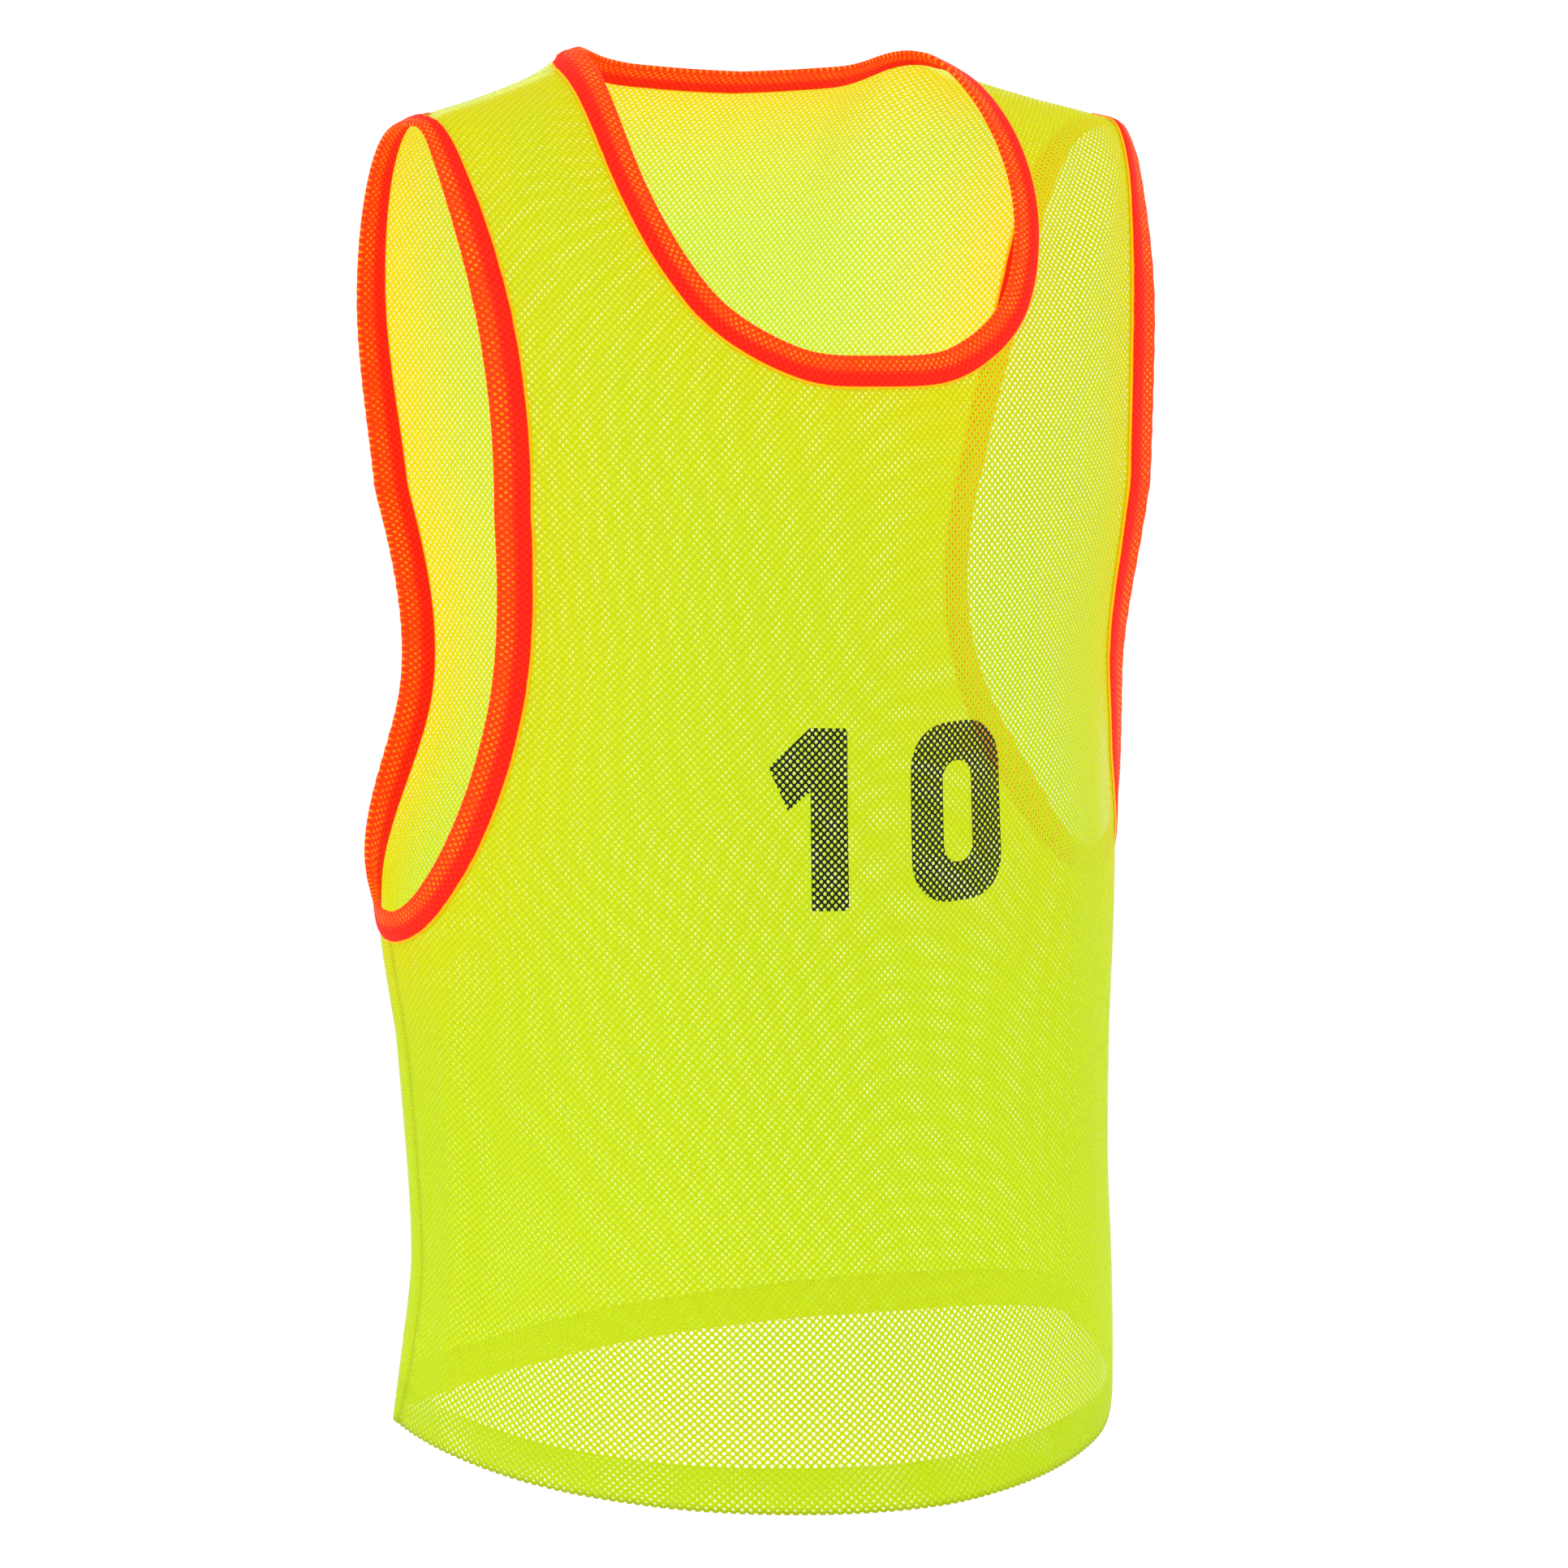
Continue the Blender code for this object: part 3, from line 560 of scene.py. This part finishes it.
def pulled_flat(tree, pull, scale):
    """The place in the flat pattern, pulled about a little as knitted cloth is."""
    flat = add_node(tree, "UVMap", {"uv_map": "flat"}).outputs[0]
    noise = add_node(tree, "TexNoise", {"Scale": scale, "Detail": 1.0}, {"Vector": flat})
    shift = {"operation": "MULTIPLY_ADD", 1: (pull,) * 3, 2: (-pull / 2,) * 3}
    moved = add_node(tree, "VectorMath", shift, {0: noise.outputs["Color"]})
    both = add_node(tree, "VectorMath", {"operation": "ADD"}, {0: flat, 1: moved.outputs[0]})
    return both.outputs[0]


def ramp(tree, value, low, high, start=0.0, end=1.0):
    """A smooth step from start to end as value goes from low to high."""
    settings = {"interpolation_type": "SMOOTHSTEP", "From Min": low, "From Max": high,
                "To Min": start, "To Max": end}
    return add_node(tree, "MapRange", settings, {"Value": value}).outputs[0]


def blend_colour(tree, share, first, second):
    """A mix of two colours, each a hex code or what a node gives."""
    node = add_node(tree, "Mix", {"data_type": "RGBA"}, {0: share})
    for number, colour in ((6, first), (7, second)):
        if isinstance(colour, str):
            node.inputs[number].default_value = linear(colour)
        else:
            tree.links.new(colour, node.inputs[number])
    return node.outputs[2]


def mesh_cloth(name, thread, crossing, shine=0.0, open_share=1.0, painted_warm_light=None, through=0.35):
    """Open knitted mesh. shine is how much it glows by itself: the dye's fluorescence, raised
    on the inside as painted light. open_share is how much of a hole loose fibres leave open,
    painted_warm_light the colour that painted light from the tape gives the cloth beside it,
    through the light a thread lets past."""
    made, tree = new_material(name)
    pulled = pulled_flat(tree, 0.7 * MM, 90.0)
    waves = lattice(tree, pulled, HOLE_ACROSS, HOLE_UP)
    hole = ramp(tree, waves, HOLE_SIZE - HOLE_SOFT, HOLE_SIZE + HOLE_SOFT, 0.0, open_share)
    colour = blend_colour(tree, ramp(tree, waves, 0.0, HOLE_SIZE), crossing, thread)
    # Painted light: beside the tape and below the shoulder seam the colour turns warmer, for light
    # that comes through the tape and the double cloth.
    if painted_warm_light:
        near = add_node(tree, "Attribute", {"attribute_name": "near_tape"})
        colour = blend_colour(tree, near.outputs["Fac"], colour, painted_warm_light)
    # Painted highlight: a pale band along the shoulder seam, where the cloth is seen edge on
    # against the light.
    seam = add_node(tree, "Attribute", {"attribute_name": "painted_ridge_highlight"})
    colour = blend_colour(tree, seam.outputs["Fac"], colour, "#EEFA9C")
    round_thread = ramp(tree, waves, 0.0, HOLE_SIZE, 1.0, 0.0)
    bump = add_node(tree, "Bump", {"Strength": 0.35, "Distance": 0.3 * MM},
                    {"Height": round_thread})
    settings = {"Roughness": 0.62, "Specular IOR Level": 0.2, "Emission Strength": shine}
    feeds = {"Base Color": colour, "Normal": bump.outputs[0], "Emission Color": colour}
    face = add_node(tree, "BsdfPrincipled", settings, feeds)
    glow = add_node(tree, "BsdfTranslucent", links={"Color": colour, "Normal": bump.outputs[0]})
    thread_mix = add_node(tree, "MixShader", {0: through}, {1: face.outputs[0], 2: glow.outputs[0]})
    clear = add_node(tree, "BsdfTransparent")
    whole = add_node(tree, "MixShader",
                     links={0: hole, 1: thread_mix.outputs[0], 2: clear.outputs[0]})
    add_node(tree, "OutputMaterial", links={"Surface": whole.outputs[0]})
    return made


OUTSIDE = mesh_cloth("yellow_mesh_outside", "#D9E300", "#C8D200", shine=0.07)
# The inside is a paler, brighter copy that glows more: painted light standing in for light that
# bounces round inside.
INSIDE_PAINTED_BRIGHT = {side: mesh_cloth("yellow_mesh_inside_painted_bright_" + side, "#DEF848", "#D4EE38", shine=0.17,
                           open_share=share, painted_warm_light="#FFE600")
          for side, share in (("front", 0.72), ("back", 0.40))}
PRINTED = mesh_cloth("yellow_mesh_printed", "#2E2E18", "#16170C", through=0.15)
print("holes:", round(HOLE_ACROSS / MM, 2), "mm across,", round(HOLE_UP / MM, 2), "mm up")

# %% [markdown]
# ## Panels
#
# A panel is a net of small triangles over its flat pattern, with its outline kept exactly,
# then laid on the form. It has a real thickness of 0.6 mm, so that the holes close up where
# the cloth is seen edge on. At the bottom the cloth carries on round the fold and back up
# inside, 22 mm, which doubles the mesh there: two lattices that don't line up leave only
# pinholes, and this is why the hem looks deeper in colour. Two values at each point carry
# painted light. The first grows beside the tape and below the shoulder seam, and paints the
# inside warmer for light that comes through the tape and the double cloth. The second is a
# painted highlight, a pale band along the shoulder seam.

# %% Flat net of a panel
CLOTH_WALL = 0.6 * MM
NET_STEP = 5.0 * MM
TURN_GAP = 0.9 * MM         # from the cloth to its turned-up layer, reached within
TURN_SOFT = 1.6 * MM        # about this height
HEM_SLIP = 0.9 * MM
HEM_SKEW = 0.05
HEM_DRIFT = [(0.5 * MM, 0.031, 0.0), (0.4 * MM, 0.0113, 1.0)]   # size, wave, start
# Reach of the painted warmth beside the tape and below the shoulder seam.
WARM_REACH = 0.045
# Reach, strength and palest share of the painted highlight along the shoulder seam.
HIGHLIGHT_REACH = 8.0 * MM
HIGHLIGHT_SHARE = 0.85           # how strongly the painted highlight along the shoulder seam whitens the cloth
HIGHLIGHT_FULL = 0.4             # share of its reach over which it is palest
TURN_ROWS = [0.6 * MM, 1.6 * MM, 4.0 * MM, 8.0 * MM, 13.0 * MM, 18.0 * MM, HEM_DEPTH]
PRINT_SIZE = dict(height=0.088, width=0.056, stroke=0.019, gap=0.016, corner=0.014, level=0.290)


def inside_loop(loop, points):
    """For each flat point, True if it lies inside a closed loop."""
    inside = np.zeros(len(points), bool)
    x, y = points[:, 0], points[:, 1]
    for (x0, y0), (x1, y1) in zip(loop, np.roll(loop, -1, axis=0)):
        if y0 != y1:
            crosses = ((y0 > y) != (y1 > y)) & (x < (x1 - x0) * (y - y0) / (y1 - y0) + x0)
            inside ^= crosses
    return inside


def outline(side):
    """A panel's whole outline, counter-clockwise from the right end of the hem."""
    halves = []
    for hand in (1, -1):
        edge, _ = armhole_strip(side, hand)
        places = np.linspace(TIP_X, NECK_X, max(3, round((TIP_X - NECK_X) / EDGE_STEP)))[1:]
        shoulder = np.array([seam_flat(side, hand * x) for x in places])
        side_seam = even_points(np.array([(hand * HALF_WIDTH, 0.0), edge[0]]), NET_STEP)
        halves.append(np.vstack([side_seam, edge[1:], shoulder]))
    neck, _ = neck_strip(side)
    hem = even_points(np.array([(-HALF_WIDTH, 0.0), (HALF_WIDTH, 0.0)]), NET_STEP)
    return np.vstack([halves[0], neck[::-1][1:-1], halves[1][::-1], hem[1:-1]])


def rounded_box(cx, cy, width, height, corner):
    """Counter-clockwise outline of a box with round corners."""
    turns = np.linspace(0.0, math.pi / 2, 7)
    points = []
    for quarter, (sx, sy) in enumerate(((1, 1), (-1, 1), (-1, -1), (1, -1))):
        angles = turns + quarter * math.pi / 2
        points += [(cx + sx * (width / 2 - corner) + corner * math.cos(a),
                    cy + sy * (height / 2 - corner) + corner * math.sin(a)) for a in angles]
    return np.array(points)


def print_loops():
    """Outlines of the plain number on the chest, and of the hole in its nought."""
    p = PRINT_SIZE
    pitch = (p["width"] + p["gap"]) / 2
    left, base, top = -pitch, p["level"], p["level"] + p["height"]
    half = p["stroke"] / 2
    flag = 0.6 * p["stroke"]
    one = np.array([(left - half - flag, top - 2.1 * p["stroke"]),
                    (left - half, top - 1.6 * p["stroke"]),
                    (left - half, base), (left + half, base),
                    (left + half, top), (left - half, top),
                    (left - half - flag - half, top - 1.0 * p["stroke"])])
    middle_up = (base + top) / 2
    nought = rounded_box(pitch, middle_up, p["width"], p["height"], p["corner"] * 1.5)
    eye = rounded_box(pitch, middle_up, p["width"] - 2 * p["stroke"], p["height"] - 2 * p["stroke"],
                      p["corner"] * 0.6)
    return [one, nought], [eye]


def flat_net(side):
    """Flat points and triangles of a panel, and which triangles are printed."""
    edge = outline(side)
    loops = [edge]
    inked, bare = print_loops() if side == "front" else ([], [])
    for loop in inked + bare:
        loops.append(even_points(np.vstack([loop, loop[:1]]), 3.0 * MM)[:-1])
    points, edges = [], []
    for loop in loops:
        first = len(points)
        points += [tuple(p) for p in loop]
        edges += [(first + i, first + (i + 1) % len(loop)) for i in range(len(loop))]
    fixed = np.array(points)
    height = NET_STEP * math.sqrt(0.75)
    rows = []
    for number in range(1, int(edge[:, 1].max() / height) + 1):
        across = np.arange(-HALF_WIDTH, HALF_WIDTH, NET_STEP) + (NET_STEP / 2) * (number % 2)
        rows.append(np.column_stack([across, np.full(len(across), number * height)]))
    free = np.vstack(rows)
    free = free[inside_loop(edge, free)]
    near = np.array([np.min(np.hypot(*(fixed - p).T)) for p in free])
    points += [tuple(p) for p in free[near > 0.6 * NET_STEP]]
    found = delaunay_2d_cdt([Vector(p) for p in points], edges, [], 1, 1e-6)
    flat = np.array([tuple(p) for p in found[0]])
    faces = np.array([tuple(f) for f in found[2]])
    centres = flat[faces].mean(axis=1)
    faces, centres = faces[inside_loop(edge, centres)], centres[inside_loop(edge, centres)]
    printed = np.zeros(len(faces), bool)
    for loop in inked:
        printed |= inside_loop(loop, centres)
    for loop in bare:
        printed &= ~inside_loop(loop, centres)
    return flat, faces, printed


# %% Panels as cloth with a thickness
def add_object(name, points, faces, flat, slots, materials):
    """A smooth mesh with its flat pattern as a map and one material number for each face."""
    mesh = bpy.data.meshes.new(name)
    mesh.from_pydata([tuple(p) for p in points], [], [tuple(int(i) for i in f) for f in faces])
    layer = mesh.uv_layers.new(name="flat")
    corner_points = np.zeros(len(mesh.loops), int)
    mesh.loops.foreach_get("vertex_index", corner_points)
    layer.data.foreach_set("uv", flat[corner_points].ravel())
    for made in materials:
        mesh.materials.append(made)
    mesh.polygons.foreach_set("material_index", np.array(slots, int))
    mesh.shade_smooth()
    thing = bpy.data.objects.new(name, mesh)
    bpy.context.collection.objects.link(thing)
    return thing


def all_tape_points():
    """Points along the middle of every taped edge, in space."""
    lines = []
    for side in ("front", "back"):
        for edge, inner in (neck_strip(side), armhole_strip(side, 1), armhole_strip(side, -1)):
            lines.append(cloth(side, (edge + inner) / 2)[0])
    return np.vstack(lines)


TAPE_POINTS = all_tape_points()


def near_tape(points, reach):
    """1 beside the orange tape, falling to 0 away from it."""
    tree = KDTree(len(TAPE_POINTS))
    for number, point in enumerate(TAPE_POINTS):
        tree.insert(point, number)
    tree.balance()
    away = np.array([tree.find(p)[2] for p in points])
    return np.exp(-(away / reach) ** 1.5)


def make_panel(name, side):
    """One panel of mesh cloth with its hem turned up inside."""
    flat, faces, printed = flat_net(side)
    points, normals = cloth(side, flat)
    pattern = flat.copy()
    foot = np.nonzero(flat[:, 1] < 1e-6)[0]
    foot = foot[np.argsort(flat[foot, 0])]
    above, _ = cloth(side, flat[foot] + (0.0, 2.0 * MM))
    down = points[foot] - above
    normals[foot] = down / np.linalg.norm(down, axis=1)[:, None]
    rows = [foot]
    for deep in TURN_ROWS:
        at, facing = cloth(side, np.column_stack([flat[foot, 0], np.full(len(foot), deep)]))
        at = at - facing * TURN_GAP * ease(deep / TURN_SOFT + 0.25)
        rows.append(len(points) + np.arange(len(foot)))
        points = np.vstack([points, at])
        normals = np.vstack([normals, -facing])
        # The turned-up layer is never quite in line with the layer in front of it.
        drift = sum(size * np.sin(flat[foot, 0] / wave + start) for size, wave, start in HEM_DRIFT)
        slip = np.column_stack([flat[foot, 0] + HEM_SLIP + drift + HEM_SKEW * deep, drift - deep])
        pattern = np.vstack([pattern, slip])
    turned = []
    for lower, upper in zip(rows[1:], rows):
        turned += [(lower[i], lower[i + 1], upper[i + 1]) for i in range(len(foot) - 1)]
        turned += [(lower[i], upper[i + 1], upper[i]) for i in range(len(foot) - 1)]
    faces = np.vstack([faces, turned])
    printed = np.concatenate([printed, np.zeros(len(turned), bool)])
    if side == "back":
        faces = faces[:, ::-1]
    count = len(points)
    both = np.vstack([points + normals * CLOTH_WALL / 2, points - normals * CLOTH_WALL / 2])
    border = {}
    for a, b in np.vstack([faces[:, (0, 1)], faces[:, (1, 2)], faces[:, (2, 0)]]):
        border[(int(a), int(b))] = True
    rims = [(b, a, a + count, b + count) for a, b in border if (b, a) not in border]
    every = [tuple(f) for f in faces] + [tuple(f[::-1] + count) for f in faces] + rims
    slots = list(np.where(printed, 2, 0)) + [1] * len(faces) + [0] * len(rims)
    thing = add_object(name, both, every, np.vstack([pattern, pattern]), slots,
                       (OUTSIDE, INSIDE_PAINTED_BRIGHT[side], PRINTED))
    # Painted light: the inside turns warmer beside the tape and below the shoulder seam.
    painted_warm_light = thing.data.attributes.new("near_tape", "FLOAT", "POINT")
    ridge = np.maximum(shoulder_v(side, pattern[:, 0]) - pattern[:, 1], 0.0)
    glow = np.maximum(near_tape(both, WARM_REACH), np.tile(np.exp(-(ridge / WARM_REACH) ** 2), 2))
    painted_warm_light.data.foreach_set("value", glow)
    # Painted highlight: a pale band along the shoulder seam, on both faces of the cloth.
    pale = thing.data.attributes.new("painted_ridge_highlight", "FLOAT", "POINT")
    painted_highlight_amount = HIGHLIGHT_SHARE * ease(1.0 + HIGHLIGHT_FULL - ridge / HIGHLIGHT_REACH)
    pale.data.foreach_set("value", np.tile(painted_highlight_amount, 2))
    print(name, "triangles:", sum(len(p.vertices) - 2 for p in thing.data.polygons))
    return thing


front_cloth = make_panel("front_mesh", "front")
back_cloth = make_panel("back_mesh", "back")

# %% [markdown]
# ## Folded tape
#
# The edges are bound with the same mesh in orange, cut as a strip, folded over the raw edge
# and stitched. Towards the seam its own raw edges are turned under, so that half is four
# layers thick, solid and redder. Towards the fold it is thinner, and its holes show the
# yellow beneath as rows of dots.

# %% Tape material
FRINGE = 0.8 * MM
THIN_FROM, THIN_TO = 4.0 * MM, 8.5 * MM     # the thin half ends between these


def orange_tape():
    """Folded mesh tape, dotted near its fold, with a yellow fringe beside its seam."""
    made, tree = new_material("orange_mesh_tape")
    pulled = pulled_flat(tree, 0.5 * MM, 110.0)
    across = add_node(tree, "SeparateXYZ", links={0: pulled}).outputs[1]
    into = add_node(tree, "Math", {"operation": "ABSOLUTE"}, {0: across}).outputs[0]
    waves = lattice(tree, pulled, HOLE_ACROSS, HOLE_UP)
    hole = ramp(tree, waves, 0.42, 0.72, 0.0, 0.85)
    thin = ramp(tree, into, THIN_FROM, THIN_TO, 1.0, 0.0)
    patchy = add_node(tree, "TexNoise", {"Scale": 60.0, "Detail": 1.0}, {"Vector": pulled})
    showing = ramp(tree, patchy.outputs["Fac"], 0.30, 0.62, 0.15, 1.0)
    dots = add_node(tree, "Math", {"operation": "MULTIPLY"}, {0: hole, 1: thin}).outputs[0]
    dots = add_node(tree, "Math", {"operation": "MULTIPLY"}, {0: dots, 1: showing}).outputs[0]
    weave = ramp(tree, waves, 0.0, 0.4)
    solid = blend_colour(tree, weave, "#E81808", "#FA2A0E")
    fold = blend_colour(tree, weave, "#F43A06", "#FE5208")
    colour = blend_colour(tree, thin, solid, fold)
    colour = blend_colour(tree, dots, colour, "#FFA000")
    fringe = ramp(tree, into, TAPE_WIDTH - 0.5 * MM, TAPE_WIDTH + 0.2 * MM)
    colour = blend_colour(tree, fringe, colour, "#FFC400")
    height = ramp(tree, waves, 0.1, 0.5, 1.0, 0.0)
    bump = add_node(tree, "Bump", {"Strength": 0.4, "Distance": 0.35 * MM}, {"Height": height})
    # The tape glows a little by itself: partly the dye's fluorescence, partly a painted glow that
    # lifts it where it lies in shade.
    settings = {"Roughness": 0.6, "Specular IOR Level": 0.12, "Emission Strength": 0.22}
    feeds = {"Base Color": colour, "Normal": bump.outputs[0], "Emission Color": colour}
    face = add_node(tree, "BsdfPrincipled", settings, feeds)
    glow = add_node(tree, "BsdfTranslucent", links={"Color": colour})
    whole = add_node(tree, "MixShader", {0: 0.2}, {1: face.outputs[0], 2: glow.outputs[0]})
    add_node(tree, "OutputMaterial", links={"Surface": whole.outputs[0]})
    return made


TAPE = orange_tape()

# %% Tape meshes
LEG_GAP = 0.5 * MM
# distance from the fold, height of the skin over the cloth's middle
TAPE_SKIN = [(TAPE_WIDTH + FRINGE, 0.75 * MM), (TAPE_WIDTH, 1.15 * MM), (12.6 * MM, 1.75 * MM),
             (10.0 * MM, 1.85 * MM), (7.4 * MM, 1.75 * MM), (5.6 * MM, 1.45 * MM),
             (3.0 * MM, 1.40 * MM), (0.8 * MM, 1.30 * MM)]
NOSE_REACH = 1.3 * MM
NOSE_TURNS = (60.0, 25.0, -25.0, -60.0)


def tape_section():
    """Closed section of the folded tape: distance from the fold, height, place across it."""
    section = [(into, off, into) for into, off in TAPE_SKIN]
    for turn in NOSE_TURNS:
        angle = math.radians(turn)
        section.append((-NOSE_REACH * math.cos(angle), NOSE_REACH * math.sin(angle),
                        0.6 * MM * turn / NOSE_TURNS[0]))
    section += [(into, -off, -into) for into, off in reversed(TAPE_SKIN)]
    inner = [(TAPE_WIDTH + FRINGE, -LEG_GAP), (7.0 * MM, -LEG_GAP), (0.0, -LEG_GAP),
             (0.0, LEG_GAP), (7.0 * MM, LEG_GAP), (TAPE_WIDTH + FRINGE, LEG_GAP)]
    return section + [(into, off, into if off > 0 else -into) for into, off in inner]


def make_tape(name, stretches):
    """A closed loop of folded tape. stretches are (side, edge row, inner row), all round."""
    section = tape_section()
    rings = []
    for side, edge, inner in stretches:
        way_flat = (inner - edge) / TAPE_WIDTH
        at_fold, fold_normal = cloth(side, edge)
        near, _ = cloth(side, edge + way_flat * 2.0 * MM)
        out = at_fold - near
        out /= np.linalg.norm(out, axis=1)[:, None]
        columns = []
        for into, off, _ in section:
            if into > 0.0:
                base, normal = cloth(side, edge + way_flat * into)
            else:
                base, normal = at_fold - out * into, fold_normal
            columns.append(base + normal * off)
        rings.append(np.array(columns).transpose(1, 0, 2))
    ring = np.vstack(rings)
    steps = np.linalg.norm(np.roll(ring[:, 0], -1, axis=0) - ring[:, 0], axis=1)
    along = np.concatenate([[0.0], np.cumsum(steps)])
    stations, wide = ring.shape[:2]
    ring = np.vstack([ring, ring[:1]])
    flat = np.array([(s, place_across) for s in along for _, _, place_across in section])
    faces = []
    for i in range(stations):
        for k in range(wide):
            j = (k + 1) % wide
            faces.append((i * wide + k, (i + 1) * wide + k, (i + 1) * wide + j, i * wide + j))
    thing = add_object(name, ring.reshape(-1, 3), faces, flat, [0] * len(faces), (TAPE,))
    print(name, "length round:", round(along[-1], 3), "m")
    return thing


def both_sides(front_rows, back_rows):
    """An edge all round: up the front, then back down the other side."""
    return [("front", *front_rows), ("back", *(row[-2:0:-1] for row in back_rows))]


neck_tape = make_tape("neck_tape", both_sides(neck_strip("front"), neck_strip("back")))
left_tape, right_tape = (
    make_tape(name, both_sides(armhole_strip("front", hand), armhole_strip("back", hand)))
    for name, hand in (("armhole_tape_left", 1), ("armhole_tape_right", -1)))

# %% [markdown]
# ## What each piece stands for
#
# Every piece replaces the solid it was made from: it hangs from the root, and the solid is hidden.

PANELS = ["front_mesh", "back_mesh"]
DRESSED = [
    # piece, node, slot, flat width and length, area, held, rests on
    (front_cloth, "front_panel", "yellow_mesh", (0.536, 0.747), 0.293, "hung", ["neck_tape"]),
    (back_cloth, "back_panel", "yellow_mesh", (0.536, 0.727), 0.324, "hung", ["neck_tape"]),
    (neck_tape, "neck_binding", "orange_tape", (0.030, 0.727), None, "folded", PANELS),
    (left_tape, "armhole_binding_left", "orange_tape", (0.030, 0.894), None, "folded", PANELS),
    (right_tape, "armhole_binding_right", "orange_tape", (0.030, 0.894), None, "folded", PANELS),
]
for piece, node, slot, flat_size, area, held, under in DRESSED:
    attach(piece, "root")
    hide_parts(node)
